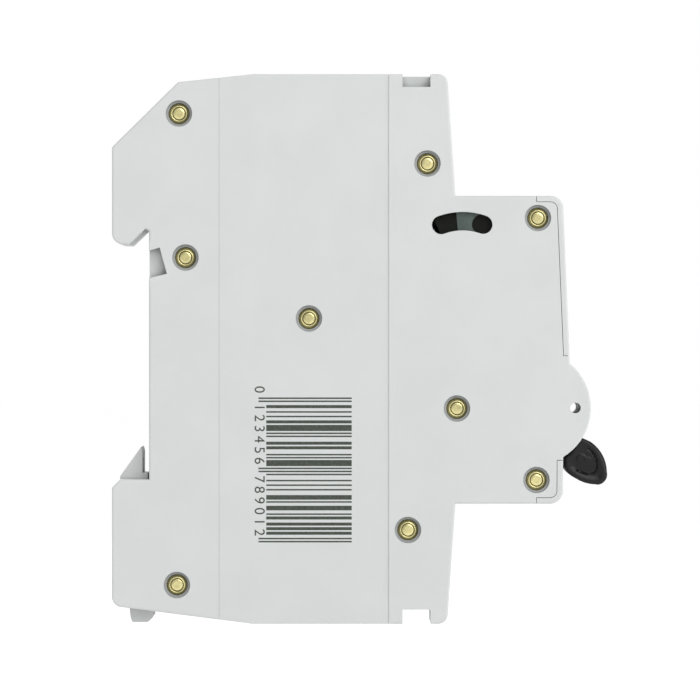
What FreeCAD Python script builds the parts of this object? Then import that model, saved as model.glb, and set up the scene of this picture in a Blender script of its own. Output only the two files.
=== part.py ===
import FreeCAD, Part
import math
import os

V = FreeCAD.Vector

# A one-module residual-current breaker for a 35 mm mounting rail, in millimetres.
# X is the width, Y the depth with the front at -Y, and Z is up.
# The origin is on the plane that rests on the rail, at mid width and at the rail's centre line.

# ---- housing ----
WIDTH = 17.8                 # one 18 mm module less the play between neighbours
SIDE_WALL = 1.3              # side wall of a cover
RIM_WALL = 1.3               # wall round the edge of a cover
PARTITION = 1.2              # wall of the middle frame
TOP = 40.7                   # rail centre line to the top face
BOTTOM = 40.4                # rail centre line to the bottom face
NOSE_TOP = 22.74             # half of the 45 mm front that shows through a panel
NOSE_BOTTOM = 22.67
SHOULDER = 44.0              # rail plane to the shoulders, at their outer ends
SHOULDER_DRAFT = 1.2         # how much further out a shoulder stands at the nose
NOSE_FRONT = 61.05           # rail plane to the front face, at its top
NOSE_LEAN = 1.1              # how much further out the front stands beside the toggle
BACK = 5.46                  # how far the hook and the foot reach behind the rail plane
CORNER = 1.4                 # moulded outer corners
NOSE_CORNER = 1.9            # outer corners of the front
FLAT_START = 15.3            # where the flat top ends and the slope to the back begins
SLOPE_END = 4.28             # where that slope meets the back chamfer
SLOPE_DROP = 1.17
CHAMFER_DROP = 9.6           # height of the back chamfer
FOOT_DROP = 2.65             # rise of the bottom face towards the back
SOFT_EDGE = 0.3              # rounding of the side faces' outer edges
BAND_DEPTH = 0.12            # the middle band of each side lies this much lower
BAND_FRONT = 35.4
BAND_BACK = 10.3

# ---- rail recess ----
RAIL_HALF = 17.5             # half height of the rail
HOOK_TIP = 15.6              # lower end of the hook
HOOK_LIP = 2.9               # thickness of the gap between hook and rail plane at its mouth
FOOT_TOP = 19.1              # step above the foot
FOOT_CHAMFER = 1.2
PAD_HALF_WIDTH = 2.5         # seat pad of the middle frame
PAD_TOP = 10.2
PAD_BOTTOM = 12.8
PAD_PROUD = 0.15             # how far the pad stands out of the partition's edge

# ---- rivets: places as (y, z) on the side ----
RIVETS = [(-4.42, TOP - 5.82), (-5.38, 13.64), (-23.6, 4.65), (-41.08, TOP - 13.2),
          (-NOSE_FRONT + 3.68, NOSE_TOP - 3.27), (-45.43, -8.63), (-38.2, -BOTTOM + 13.85),
          (-NOSE_FRONT + 3.9, -NOSE_BOTTOM + 3.5), (-4.13, -BOTTOM + 5.74)]
RIVET_R = 1.2                # shank of a rivet
RIVET_FLANGE_R = RIVET_R + 0.35
RIVET_FLANGE = 0.3           # height of the sloping flange
RIVET_RING_R = RIVET_R - 0.1
RIVET_ROLL = 0.12            # rolled ring that stands above the flange
RIVET_GROOVE_OUT = RIVET_R - 0.2
RIVET_GROOVE_IN = RIVET_R - 0.35
RIVET_GROOVE = 0.3           # depth of the groove round the flat middle
RIVET_FIT = 0.04             # radial play of a rivet in its hole
COUNTERBORE_R = 1.95
COUNTERBORE = 1.0
BOSS_R = 2.6

# ---- toggle ----
TOGGLE_Y = -NOSE_FRONT + 4.31
TOGGLE_Z = -8.55
BULGE_R = 8.45               # cheeks of the housing beside the toggle
BARREL_R = 7.1
TOGGLE_HALF = 4.3            # half width of the barrel
HANDLE_HALF = 5.2            # half width of the handle outside the housing
TOGGLE_GAP = 0.3             # play between toggle and housing
TOGGLE_TURN = 80.0           # from off to on
TOGGLE_PIN_R = 1.0
TOGGLE_SPRING_R = 2.7        # middle line of the toggle's spring
TOGGLE_WIRE = 0.3            # radius of its wire
PIN_FIT = 0.05               # radial play on every pivot pin
LOCK_R = 0.78                # hole for a locking wire
LOCK_REACH = 6.16            # distance of that hole from the toggle's axis
SLOT_IN = -3.3               # slot in the barrel for the link, from here
SLOT_OUT = -0.6              # to here
HUB_R = 1.9                  # middle of the barrel inside that slot
LINK_WAY_FROM = 20.0         # the slot's skin is open between these directions, for the link
LINK_WAY_TO = 129.0
GRIP_RIM = 0.75              # share of the grip's side that its shallow recess takes
GRIP_RECESS = 0.35

# ---- contact mechanism ----
ARM_Y = -46.27               # axis of the contact carrier
ARM_Z = 9.81
ARM_PIN_R = 1.0
CARRIER_R = 2.2
ARM_TURN = 22.0              # carrier turn from open to closed
ARM_REACH = 13.0             # axis to contact button
ARM_OPEN = 20.0              # arm's lean to the back when open, from straight down
BUTTON_R = 1.1
BUTTON = 0.8
LINK_R = 0.6
CRANK = 3.2                  # link hole in the toggle, from the toggle's axis
CRANK_ANGLE = 105.0          # its direction at off, from +Y towards +Z
LINK_REACH = 8.0             # link hole in the carrier, from the carrier's axis
LINK_ANGLE = 250.0
LINK_PLAY = 1.0              # play of the link's open end in the carrier
LEVER = 1.1                  # thickness of the trip lever
LEVER_TURN = 22.0            # lever turn from off to on
LEVER_HEAD_R = 11.0          # the lever's broad head behind the arc slot reaches this far
LEVER_HEAD_IN = 7.2
LEVER_HEAD_FROM = 66.0
LEVER_HEAD_TO = 118.0
LEAF = 0.12                  # steel leaf on the lever's head
LEAF_FROM = 85.0
LEAF_TO = 113.0
SLOT_R = 9.2                 # arc slot, from the carrier's axis
SLOT_HALF = 1.375
SLOT_FROM = 69.9
SLOT_TO = 109.2
SLOT_PIN_R = 1.45
LEVER_REST = 108.2           # direction of the lever's pin at off
LEVER_TAIL = 318.5           # direction of its tail at off

# ---- terminals ----
TERMINAL_DROP = 7.1          # screw axis below the top face, and above the bottom face
CAGE_HEIGHT = 6.4
CAGE_WALL = 1.0
CAGE_GAP = 0.2               # play of a cage between the side walls
BAR = 1.2                    # copper bar
BAR_FRONT = 30.6             # rail plane to the bar's front face
WIRE_GAP = 5.6               # room for a wire in an open cage
CAGE_FRONT = 1.2             # threaded wall of the cage
CAGE_TRAVEL = 3.15
SCREW_R = 1.95
SCREW_HEAD_R = 2.7
SCREW_HEAD = 2.6
SCREW_FIT = 0.05
DRIVER_R = 2.9               # access hole for the screwdriver
LIP = 1.2                    # wall that holds the screw head
LIP_HOLE_R = 2.2
HEAD_FRONT = -BAR_FRONT - CAGE_FRONT - CAGE_TRAVEL - 0.5 - SCREW_HEAD

# ---- rail clip ----
CLIP_HALF = 5.5
CLIP_GAP = 0.25
CLIP_NEAR = 0.3              # clip's front face, behind the rail plane
CLIP_FAR = 4.4
CLIP_NOSE = 14.35            # tip of the nose, below the rail centre line
CLIP_TAB = 2.3               # pull tab below the bottom face
CLIP_TRAVEL = 3.5
CLIP_WINDOW_HALF = 2.2
CLIP_WINDOW_TOP = 24.0
CLIP_PEG = 1.4
CLIP_PEG_Z = -33.2
SPRING_WIRE = 0.25

# ---- residual-current side ----
CORE_Y = -13.0
CORE_Z = -24.5
CORE_R = 7.0
CORE_BORE_R = 3.6
CORE_HALF = 3.1
WINDING = 0.9                # sensing winding round the core, beside it
WINDING_END = 0.7            # and at its ends
CORE_PLAY = 0.02
BOARD = 1.0
BUTTON_Z = 12.6              # test button
TEST_R = 2.4
TEST_HOLE_R = TEST_R + 0.2
TEST_TRAVEL = 1.6
TEST_SUNK = 0.15             # how far the button's face lies behind the fascia's front
TEST_FLANGE = 0.7            # flange behind the fascia, both its rim and its thickness
TEST_CLEAR = 0.25            # flange to the wall in front of it, for the lean of the front

HALF = WIDTH / 2
LANE_OUT = HALF - SIDE_WALL              # inside of a side wall
LANE_IN = PARTITION / 2                  # face of the partition
LANE_MID = (LANE_OUT + LANE_IN) / 2
LANE = LANE_OUT - LANE_IN
FLOOR = HALF - COUNTERBORE               # bottom of a rivet's counterbore
FAR = 100.0                              # beyond the whole object

# ---- front fascia and test button ----
FASCIA = 0.85                # thickness of the front fascia
FASCIA_SEAM = 0.08           # gap round it
FASCIA_BACK = NOSE_FRONT - 3.85
FASCIA_BREAK = 7.75          # the fascia's halves end this far above and below the toggle's axis
NOSE_WALL = 1.0              # wall of the covers behind it
STRAP = 1.2                  # width of the strips that join the halves
WINDOW_TOP = TOGGLE_Z + 6.9
WINDOW_BOTTOM = TOGGLE_Z - 7.9
BUTTON_FRONT = -NOSE_FRONT - NOSE_LEAN * (NOSE_TOP - BUTTON_Z) / (NOSE_TOP - TOGGLE_Z - 5)
TEST_SHOULDER = -NOSE_FRONT + 3.2        # back of the button's cap, where its spring starts
TEST_STOP = -NOSE_FRONT + 7.6
TEST_PLATE = 0.5
TEST_STEM_R = 0.9

# ---- notches and pocket ----
NOTCH_FRONT = 41.55          # rail plane to the front of the notches in the top and bottom
NOTCH_BACK = 37.4
NOTCH_TOP_DEPTH = 1.9
NOTCH_DEPTH = 2.1            # the same in the bottom face
NOTCH_WALL = 1.2
POCKET = [(0.5, 14.55), (-1.58, 15.13), (-2.65, 11.25), (0.5, 10.45)]
POCKET_BLOCK = [(-0.1, 16.2), (-2.9, 16.6), (-4.1, 10.4), (-0.1, 9.2)]
POCKET_DEPTH = 1.2
POCKET_WALL = 1.2

# ---- lanes of the mechanism, from side to side ----
LINK_X = -1.95
CRANK_X0 = -3.9              # crank of the carrier
CRANK_X1 = -2.75
ARM_LANE_OUT = -LANE_OUT + LEVER + 0.5   # outer face of the line contact arm
ARM_LANE_IN = CRANK_X0 - 0.3
NEUTRAL_LANE_IN = LANE_IN + 0.6
NEUTRAL_LANE_OUT = NEUTRAL_LANE_IN + ARM_LANE_IN - ARM_LANE_OUT
LEVER_X0 = -LANE_OUT + 0.35
LEVER_X1 = LEVER_X0 + LEVER

# ---- contacts, coil, bimetal strip and arc chute ----
CLOSED = ARM_OPEN + ARM_TURN
FIXED_FACE = 1.0 + 2 * BUTTON + 0.05     # fixed plate, behind the closed arm's middle line
COIL_Z = 17.2
COIL_FRONT = -36.5
COIL_BACK = -21.0
COIL_R = min(3.1, LANE / 2 - 0.3)
PLUNGER_R = 1.1
PLUNGER_TIP = -42.2
YOKE = 1.1
TRIM_Y = -34.3               # axis of the calibration screw
TRIM_R = 1.2                 # its shank
STRIP_Y = -42.3              # front face of the bimetal strip
STRIP = 0.8
STRIP_FOOT = -22.0
STRIP_TOP = -6.0
FINGER_TOP = -2.6            # side finger that the trip lever's tail meets
CHUTE_BACK = -13.0
CHUTE_FRONT = -30.5
CHUTE_TOP = -3.2
CHUTE_PLATES = 9
CHUTE_PITCH = 1.7
CHUTE_PLATE = 0.8
CARD = 0.35
LEAD_R = 0.9
LEAD_X = 1.9                 # the two leads pass the core's bore at this distance from mid width

# ---- board and residual-current coil ----
BOARD_X = LANE_OUT - 0.5 - BOARD
BOARD_FRONT = -33.0
BOARD_BACK = -8.6
BOARD_LOW = -18.5
BOARD_HIGH = 0.5
RELAY_X = LANE_MID
RELAY_Z = SLOT_R * math.sin(math.radians(SLOT_TO - 5)) + ARM_Z + 0.2
RELAY_R = 2.9
RELAY_PLUNGER_R = 0.85
RELAY_TIP = -42.2
RELAY_FRONT = -36.2


# ---- shapes ----
def box(x0, x1, y0, y1, z0, z1):
    return Part.makeBox(x1 - x0, y1 - y0, z1 - z0, V(x0, y0, z0))


def rod_x(y, z, r, x0, x1):
    return Part.makeCylinder(r, x1 - x0, V(x0, y, z), V(1, 0, 0))


def rod_y(x, z, r, y0, y1):
    return Part.makeCylinder(r, y1 - y0, V(x, y0, z), V(0, 1, 0))


def rod_z(x, y, r, z0, z1):
    return Part.makeCylinder(r, z1 - z0, V(x, y, z0), V(0, 0, 1))


def tube_x(y, z, outer, inner, x0, x1):
    return rod_x(y, z, outer, x0, x1).cut(rod_x(y, z, inner, x0, x1))


def join(shapes):
    whole = shapes[0]
    for piece in shapes[1:]:
        whole = whole.fuse(piece)
    return whole.removeSplitter()


def take(shape, tools):
    for tool in tools:
        shape = shape.cut(tool)
    return shape.removeSplitter()


def inset(points, depth):
    """The outline's corners moved inwards by depth, with their radii."""
    area = 0.0
    count = len(points)
    for i in range(count):
        y0, z0 = points[i][:2]
        y1, z1 = points[(i + 1) % count][:2]
        area += y0 * z1 - y1 * z0
    sign = 1 if area > 0 else -1
    moved = []
    for i in range(count):
        before = V(points[i - 1][0], points[i - 1][1], 0)
        here = V(points[i][0], points[i][1], 0)
        after = V(points[(i + 1) % count][0], points[(i + 1) % count][1], 0)
        first = (here - before).normalize()
        second = (after - here).normalize()
        n1 = V(-first.y, first.x, 0) * sign
        n2 = V(-second.y, second.x, 0) * sign
        bend = 1 + n1.dot(n2)
        corner = here + (n1 + n2) * (depth / bend)
        radius = points[i][2]
        turn = (first.x * second.y - first.y * second.x) * sign
        radius = max(radius - depth, 0) if turn > 0 else radius
        moved.append((corner.x, corner.y, radius))
    return moved


def plate(points, x0, x1):
    """A plate between two widths; each point is (y, z, corner radius)."""
    edges = []
    start = None
    last = None
    count = len(points)
    for i in range(count):
        here = V(x0, points[i][0], points[i][1])
        radius = points[i][2]
        before = V(x0, points[i - 1][0], points[i - 1][1])
        after = V(x0, points[(i + 1) % count][0], points[(i + 1) % count][1])
        back = (before - here).normalize()
        ahead = (after - here).normalize()
        if radius > 0.01:
            half = back.getAngle(ahead) / 2
            reach = radius / math.tan(half)
            arc_in = here + back * reach
            arc_out = here + ahead * reach
            middle = (back + ahead).normalize()
            top = here + middle * (radius / math.sin(half) - radius)
        else:
            arc_in = here
            arc_out = here
        if last is None:
            start = arc_in
        else:
            edges.append(Part.LineSegment(last, arc_in).toShape())
        if radius > 0.01:
            edges.append(Part.Arc(arc_in, top, arc_out).toShape())
        last = arc_out
    edges.append(Part.LineSegment(last, start).toShape())
    return Part.Face(Part.Wire(edges)).extrude(V(x1 - x0, 0, 0))


def soft_plate(points, x0, x1, radius):
    """The same plate with the edges of both side faces rounded."""
    body = plate(points, x0, x1)
    ends = [edge for edge in body.Edges if abs(edge.CenterOfMass.x - x0) < 1e-6
            or abs(edge.CenterOfMass.x - x1) < 1e-6]
    return body.makeFillet(radius, ends)


def sharp(points):
    return [(y, z, 0) for y, z in points]


def turned(shape, y, z, degrees):
    """A copy turned about an axis along X, from +Y towards +Z."""
    copy = shape.copy()
    copy.rotate(V(0, y, z), V(1, 0, 0), degrees)
    return copy


def polar(y, z, r, degrees):
    angle = math.radians(degrees)
    return y + r * math.cos(angle), z + r * math.sin(angle)


def bent_strip(points, thick, x0, x1):
    """A strip of even thickness that follows points (y, z) on its middle line."""
    pieces = []
    for (y0, z0), (y1, z1) in zip(points, points[1:]):
        along = V(0, y1 - y0, z1 - z0)
        length = along.Length
        along.normalize()
        across = V(0, -along.z, along.y) * (thick / 2)
        start = V(x0, y0, z0) - along * (thick / 2)
        end = V(x0, y1, z1) + along * (thick / 2)
        loop = [start - across, end - across, end + across, start + across, start - across]
        if length > 0:
            pieces.append(Part.Face(Part.makePolygon(loop)).extrude(V(x1 - x0, 0, 0)))
    return join(pieces)


def wire_path(points, r):
    """Round wire along straight runs, with balls at the bends."""
    pieces = []
    for start, end in zip(points, points[1:]):
        run = end - start
        pieces.append(Part.makeCylinder(r, run.Length, start, run))
    for corner in points[1:-1]:
        pieces.append(Part.makeSphere(r, corner))
    return join(pieces)


def coil_spring(centre, axis, length, mean_r, wire_r, turns):
    """A compression spring of round wire, starting at centre and going along axis."""
    helix = Part.makeHelix((length - 2 * wire_r) / turns, length - 2 * wire_r, mean_r)
    section = Part.Wire([Part.Circle(V(mean_r, 0, 0), V(0, 1, 0), wire_r).toShape()])
    spring = Part.Wire(helix.Edges).makePipeShell([section], True, True)
    spring.translate(V(0, 0, wire_r))
    spring.Placement = FreeCAD.Placement(centre, FreeCAD.Rotation(V(0, 0, 1), axis)).multiply(
        spring.Placement)
    return spring


def ring_stack(y, z, mean_r, wire_r, x0, turns):
    """Close wound turns of a torsion spring round an axis along X."""
    rings = []
    for i in range(turns):
        centre = V(x0 + wire_r + i * 1.9 * wire_r, y, z)
        rings.append(Part.makeTorus(mean_r, wire_r, centre, V(1, 0, 0)))
    return join(rings)


def save(name, shape):
    shape.exportStep("parts/" + name + ".step")


# ---- outline of the housing ----
def outline():
    lean = SHOULDER_DRAFT
    return [(BACK, TOP - SLOPE_DROP - CHAMFER_DROP, 0.3),
            (BACK, HOOK_TIP, 1.6),
            (HOOK_LIP, HOOK_TIP, 0.3),
            (0.5, RAIL_HALF + 0.4, 0.25),
            (0, RAIL_HALF + 0.1, 0),
            (0, -FOOT_TOP, 0),
            (BACK - FOOT_CHAMFER, -FOOT_TOP, 0.2),
            (BACK, -FOOT_TOP - FOOT_CHAMFER, 0.2),
            (BACK, -BOTTOM + FOOT_DROP, 1.5),
            (-FLAT_START, -BOTTOM, 0),
            (-SHOULDER, -BOTTOM, CORNER),
            (-SHOULDER - lean, -NOSE_BOTTOM, 0),
            (-NOSE_FRONT, -NOSE_BOTTOM, NOSE_CORNER),
            (-NOSE_FRONT - 0.05, TOGGLE_Z - 5, 0),
            (-NOSE_FRONT - NOSE_LEAN, TOGGLE_Z + 5, 0),
            (-NOSE_FRONT, NOSE_TOP, NOSE_CORNER),
            (-SHOULDER - lean, NOSE_TOP, 0),
            (-SHOULDER, TOP, CORNER),
            (-FLAT_START, TOP, 0),
            (-SLOPE_END, TOP - SLOPE_DROP, 0.3)]


EDGE = outline()
WHOLE = soft_plate(EDGE, -HALF, HALF, SOFT_EDGE)
HOLLOW = inset(EDGE, RIM_WALL)
NOSE_HOLLOW = inset(EDGE, FASCIA + FASCIA_SEAM + NOSE_WALL)


def fascia_zone(skin, y_back, z_margin):
    """The skin of the nose that the fascia takes, above and below the bulge."""
    shell = WHOLE.cut(plate(inset(EDGE, skin), -FAR, FAR))
    upper = box(-FAR, FAR, -FAR, -y_back, TOGGLE_Z + FASCIA_BREAK - z_margin, FAR)
    lower = box(-FAR, FAR, -FAR, -y_back, -FAR, TOGGLE_Z - FASCIA_BREAK + z_margin)
    return shell.common(upper).fuse(shell.common(lower))


def strap(side, gap):
    """One of the two strips that join the fascia's halves beside the toggle."""
    x0 = TOGGLE_HALF + TOGGLE_GAP
    x1 = x0 + STRAP
    front = NOSE_FRONT + 0.45
    points = [(-front - 0.5 - gap, TOGGLE_Z + 9.5 + gap), (-front + 0.5 + gap, TOGGLE_Z + 9.5 + gap),
              (-front + 1.3 + gap, TOGGLE_Z - 9.4 - gap), (-front + 0.4 - gap, TOGGLE_Z - 9.4 - gap)]
    low = min(side * (x0 - gap), side * (x1 + gap))
    high = max(side * (x0 - gap), side * (x1 + gap))
    return plate(sharp(points), low, high)


def make_fascia():
    skin = fascia_zone(FASCIA, FASCIA_BACK, 0)
    window = box(-TOGGLE_HALF - TOGGLE_GAP, TOGGLE_HALF + TOGGLE_GAP, -FAR, 0,
                 WINDOW_BOTTOM, WINDOW_TOP)
    fascia = join([skin, strap(-1, 0), strap(1, 0)])
    hole = rod_y(0, BUTTON_Z, TEST_HOLE_R, -FAR, 0)
    return take(fascia, [window, hole])


def terminal_places():
    """Each terminal as (name, side, up): side -1 is the line pole, up +1 the top."""
    return [("line_top", -1, 1), ("line_bottom", -1, -1),
            ("neutral_top", 1, 1), ("neutral_bottom", 1, -1)]


def terminal_axis(side, up):
    height = TOP - TERMINAL_DROP if up > 0 else -BOTTOM + TERMINAL_DROP
    return side * LANE_MID, height


def arc_slot(x0, x1, half):
    """The curved slot round the carrier's axis."""
    ring = tube_x(ARM_Y, ARM_Z, SLOT_R + half, SLOT_R - half, x0, x1)
    ends = []
    rays = [(ARM_Y, ARM_Z)]
    for degrees in (SLOT_FROM, (SLOT_FROM + SLOT_TO) / 2, SLOT_TO):
        rays.append(polar(ARM_Y, ARM_Z, 2 * SLOT_R, degrees))
    for degrees in (SLOT_FROM, SLOT_TO):
        y, z = polar(ARM_Y, ARM_Z, SLOT_R, degrees)
        ends.append(rod_x(y, z, half, x0, x1))
    sector = ring.common(plate(sharp(rays), x0, x1))
    return join([sector] + ends)


def make_cover(side):
    """One side cover: side wall, rim, bosses and seats, open towards the middle."""
    x_out = side * HALF
    x_wall = side * LANE_OUT
    x_in = side * LANE_IN
    low, high = min(x_out, x_in), max(x_out, x_in)
    inner_low, inner_high = min(x_wall, x_in), max(x_wall, x_in)
    shell = WHOLE.common(box(low, high, -FAR, FAR, -FAR, FAR))
    cavity = plate(HOLLOW, inner_low, inner_high)
    thick_nose = shell.cut(plate(NOSE_HOLLOW, -FAR, FAR))
    nose_rim = thick_nose.common(box(low, high, -FAR, -FASCIA_BACK + NOSE_WALL, -FAR, FAR))
    parts = [shell.cut(cavity), nose_rim]

    # channel of the rail clip in the foot: a wall in front of it and cheeks beside it
    foot = shell.common(box(low, high, -RIM_WALL, FAR, -FAR, -FOOT_TOP + 0.01))
    parts.append(foot)
    # cheek beside the toggle
    cheek_low = min(x_out, side * (TOGGLE_HALF + TOGGLE_GAP))
    cheek_high = max(x_out, side * (TOGGLE_HALF + TOGGLE_GAP))
    cheek = rod_x(TOGGLE_Y, TOGGLE_Z, BULGE_R, cheek_low, cheek_high)
    rims = [edge for edge in cheek.Edges if edge.Closed and abs(edge.CenterOfMass.x - x_out) < 1e-6]
    parts.append(cheek.makeFillet(SOFT_EDGE, rims))
    # rivet bosses
    for y, z in RIVETS:
        boss = rod_x(y, z, BOSS_R, inner_low, inner_high)
        parts.append(boss.common(shell))
    # seat round the carrier pin; the left one is low, beside the trip lever
    seat_height = 0.9 if side > 0 else 0.1
    seat_ends = sorted((x_wall, side * (LANE_OUT - seat_height)))
    parts.append(rod_x(ARM_Y, ARM_Z, ARM_PIN_R + 0.9, seat_ends[0], seat_ends[1]))
    # blocks under the notches, and round the pocket
    block_front = -NOTCH_FRONT - NOTCH_WALL
    block_back = -NOTCH_BACK + NOTCH_WALL
    parts.append(box(inner_low, inner_high, block_front, block_back,
                     TOP - NOTCH_TOP_DEPTH - NOTCH_WALL, TOP - 0.5))
    parts.append(box(inner_low, inner_high, block_front, block_back,
                     -BOTTOM + 0.5, -BOTTOM + NOTCH_DEPTH + NOTCH_WALL))
    pocket_low = min(x_out, side * (LANE_OUT - POCKET_DEPTH - POCKET_WALL))
    pocket_high = max(x_out, side * (LANE_OUT - POCKET_DEPTH - POCKET_WALL))
    parts.append(plate(sharp(POCKET_BLOCK), pocket_low, pocket_high))
    # lips that hold the terminal screws
    for name, pole, up in terminal_places():
        if pole == side:
            x, z = terminal_axis(side, up)
            half = CAGE_HEIGHT / 2 + 0.2
            lip = box(inner_low, inner_high, HEAD_FRONT - 0.1 - LIP, HEAD_FRONT - 0.1,
                      z - half if up > 0 else -BOTTOM + 0.5, TOP - 0.5 if up > 0 else z + half)
            parts.append(lip)
            if up > 0:
                floor_top = z - CAGE_HEIGHT / 2 - 0.3
                parts.append(box(inner_low, inner_high, -BAR_FRONT + BAR + 0.1,
                                 -BAR_FRONT + BAR + WIRE_GAP + CAGE_WALL + 1.0,
                                 floor_top - 1.0, floor_top))
    body = join(parts)

    cuts = [fascia_zone(FASCIA + FASCIA_SEAM, FASCIA_BACK - FASCIA_SEAM, FASCIA_SEAM)]
    cuts.append(box(-TOGGLE_HALF - TOGGLE_GAP, TOGGLE_HALF + TOGGLE_GAP, -FAR, -NOSE_FRONT + 3.0,
                    WINDOW_BOTTOM, WINDOW_TOP))
    cuts.append(rod_x(TOGGLE_Y, TOGGLE_Z, BARREL_R + TOGGLE_GAP,
                      -TOGGLE_HALF - TOGGLE_GAP, TOGGLE_HALF + TOGGLE_GAP))
    cuts.append(strap(side, 0.1))
    for y, z in RIVETS:
        cuts.append(rod_x(y, z, RIVET_R + RIVET_FIT, low - 1, high + 1))
        bore_low = min(side * FLOOR, side * (HALF + 1))
        bore_high = max(side * FLOOR, side * (HALF + 1))
        cuts.append(rod_x(y, z, COUNTERBORE_R, bore_low, bore_high))
    for name, pole, up in terminal_places():
        if pole == side:
            x, z = terminal_axis(side, up)
            cuts.append(rod_y(x, z, DRIVER_R, -FAR, HEAD_FRONT - 0.1 - LIP))
            cuts.append(rod_y(x, z, LIP_HOLE_R, -FAR, HEAD_FRONT))
            z0, z1 = (TOP - 2.5, FAR) if up > 0 else (-FAR, -BOTTOM + 2.5)
            half = LANE / 2 - CAGE_GAP - CAGE_WALL + 0.1
            cuts.append(box(x - half, x + half, -BAR_FRONT + BAR, -BAR_FRONT + BAR + WIRE_GAP, z0, z1))
    # notches in the top and bottom faces
    if side < 0:
        cuts.append(box(low - 1, x_in - 0.4, -NOTCH_FRONT, -NOTCH_BACK, TOP - NOTCH_TOP_DEPTH, FAR))
    cuts.append(box(low - 1, high + 1, -NOTCH_FRONT, -NOTCH_BACK, -FAR, -BOTTOM + NOTCH_DEPTH))
    # shallow middle band of the side
    band_low = min(side * (HALF - BAND_DEPTH), side * (HALF + 1))
    band_high = max(side * (HALF - BAND_DEPTH), side * (HALF + 1))
    cuts.append(box(band_low, band_high, -BAND_FRONT, -BAND_BACK, -FAR, FAR))
    # pocket in the rail seat
    deep_low = min(side * (HALF + 1), side * (LANE_OUT - POCKET_DEPTH))
    deep_high = max(side * (HALF + 1), side * (LANE_OUT - POCKET_DEPTH))
    cuts.append(plate(sharp(POCKET), deep_low, deep_high))
    # pins, lock hole and the arc slot
    cuts.append(rod_x(TOGGLE_Y, TOGGLE_Z, TOGGLE_PIN_R + 0.02, -LANE_OUT - 0.3, LANE_OUT + 0.3))
    cuts.append(rod_x(ARM_Y, ARM_Z, ARM_PIN_R + 0.02, -LANE_OUT - 0.3, LANE_OUT + 0.3))
    cuts.append(rod_x(TOGGLE_Y - LOCK_REACH, TOGGLE_Z, LOCK_R, -FAR, FAR))
    if side < 0:
        cuts.append(arc_slot(-HALF - 1, -LANE_OUT + 0.5, SLOT_HALF))
    # seat pad of the middle frame and channel of the rail clip
    cuts.append(box(-PAD_HALF_WIDTH - 0.05, PAD_HALF_WIDTH + 0.05, -RIM_WALL - 0.1, 1,
                    -PAD_BOTTOM - 0.05, PAD_TOP + 0.05))
    cuts.append(clip_channel())
    cuts.append(clip_peg(0.05))
    # test button
    cuts.append(rod_y(0, BUTTON_Z, TEST_HOLE_R, -FAR, -NOSE_FRONT + 4.5))
    # leg of the toggle's spring
    cuts.append(rod_x(TOGGLE_Y, TOGGLE_Z + TOGGLE_SPRING_R, TOGGLE_WIRE + 0.05,
                      TOGGLE_HALF, TOGGLE_HALF + 1.2))
    return take(body, cuts)


def clip_channel():
    """The room that the rail clip slides in, open at the step and at the bottom."""
    half = CLIP_HALF + CLIP_GAP
    room = box(-half, half, 0.02, CLIP_FAR + 0.2, -BOTTOM + 0.6, -FOOT_TOP + 1)
    mouth = box(-half, half, -0.75, CLIP_FAR - 0.9, -FAR, -BOTTOM + 4.2)
    return room.fuse(mouth)


def clip_peg(gap):
    """The peg that the clip's spring stands on, grown by gap for its hole."""
    return box(-1.5 - gap, 1.5 + gap, -0.3 - gap, CLIP_FAR + 0.3,
               CLIP_PEG_Z - CLIP_PEG - gap, CLIP_PEG_Z + gap)


def make_frame():
    """The middle frame: partition, seat pad and the peg of the clip's spring."""
    wall = plate(EDGE, -LANE_IN, LANE_IN)
    shy = box(-FAR, FAR, -PAD_PROUD, 0.05, -FOOT_TOP, RAIL_HALF + 0.1)
    pad = box(-PAD_HALF_WIDTH, PAD_HALF_WIDTH, -RIM_WALL, 0, -PAD_BOTTOM, PAD_TOP)
    cuts = [shy, fascia_zone(FASCIA + FASCIA_SEAM, FASCIA_BACK - FASCIA_SEAM, FASCIA_SEAM)]
    cuts.append(rod_x(TOGGLE_Y, TOGGLE_Z, BULGE_R + 0.6, -FAR, FAR))
    cuts.append(box(-FAR, FAR, -FAR, TOGGLE_Y, WINDOW_BOTTOM - 0.5, WINDOW_TOP + 1.0))
    cuts.append(rod_x(ARM_Y, ARM_Z, CARRIER_R + 0.3, -FAR, FAR))
    cuts.append(arc_slot(-FAR, FAR, SLOT_PIN_R + 0.35))
    cuts.append(box(-FAR, FAR, CORE_Y - CORE_R - 0.4, CORE_Y + CORE_R + 0.4,
                    CORE_Z - CORE_HALF - 0.4, CORE_Z + CORE_HALF + 0.4))
    cuts.append(box(-FAR, FAR, -NOTCH_FRONT, -NOTCH_BACK, -FAR, -BOTTOM + NOTCH_DEPTH))
    cuts.append(box(-FAR, FAR, -FAR, -NOSE_FRONT + 10, BUTTON_Z - TEST_R - 1.1, BUTTON_Z + TEST_R + 1.1))
    cuts.append(clip_channel())
    for y, z in RIVETS:
        cuts.append(rod_x(y, z, RIVET_R + RIVET_FIT, -FAR, FAR))
    body = take(wall, cuts)
    return join([body, pad, clip_peg(0)])


def make_rivets():
    """Rivets with a sloping flange, a rolled ring and a groove round the flat middle of each end."""
    top = FLOOR + RIVET_FLANGE
    rivets = []
    for y, z in RIVETS:
        pieces = [rod_x(y, z, RIVET_R, -top, top)]
        grooves = []
        for side in (-1, 1):
            out = V(side, 0, 0)
            seat = V(side * FLOOR, y, z)
            pieces.append(Part.makeCone(RIVET_FLANGE_R, RIVET_R, RIVET_FLANGE, seat, out))
            pieces.append(Part.makeTorus(RIVET_RING_R, RIVET_ROLL, V(side * top, y, z), out))
            ends = sorted((side * (top - RIVET_GROOVE), side * (top + 1)))
            grooves.append(tube_x(y, z, RIVET_GROOVE_OUT, RIVET_GROOVE_IN, ends[0], ends[1]))
        rivets.append(take(join(pieces), grooves))
    return Part.makeCompound(rivets)


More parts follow.
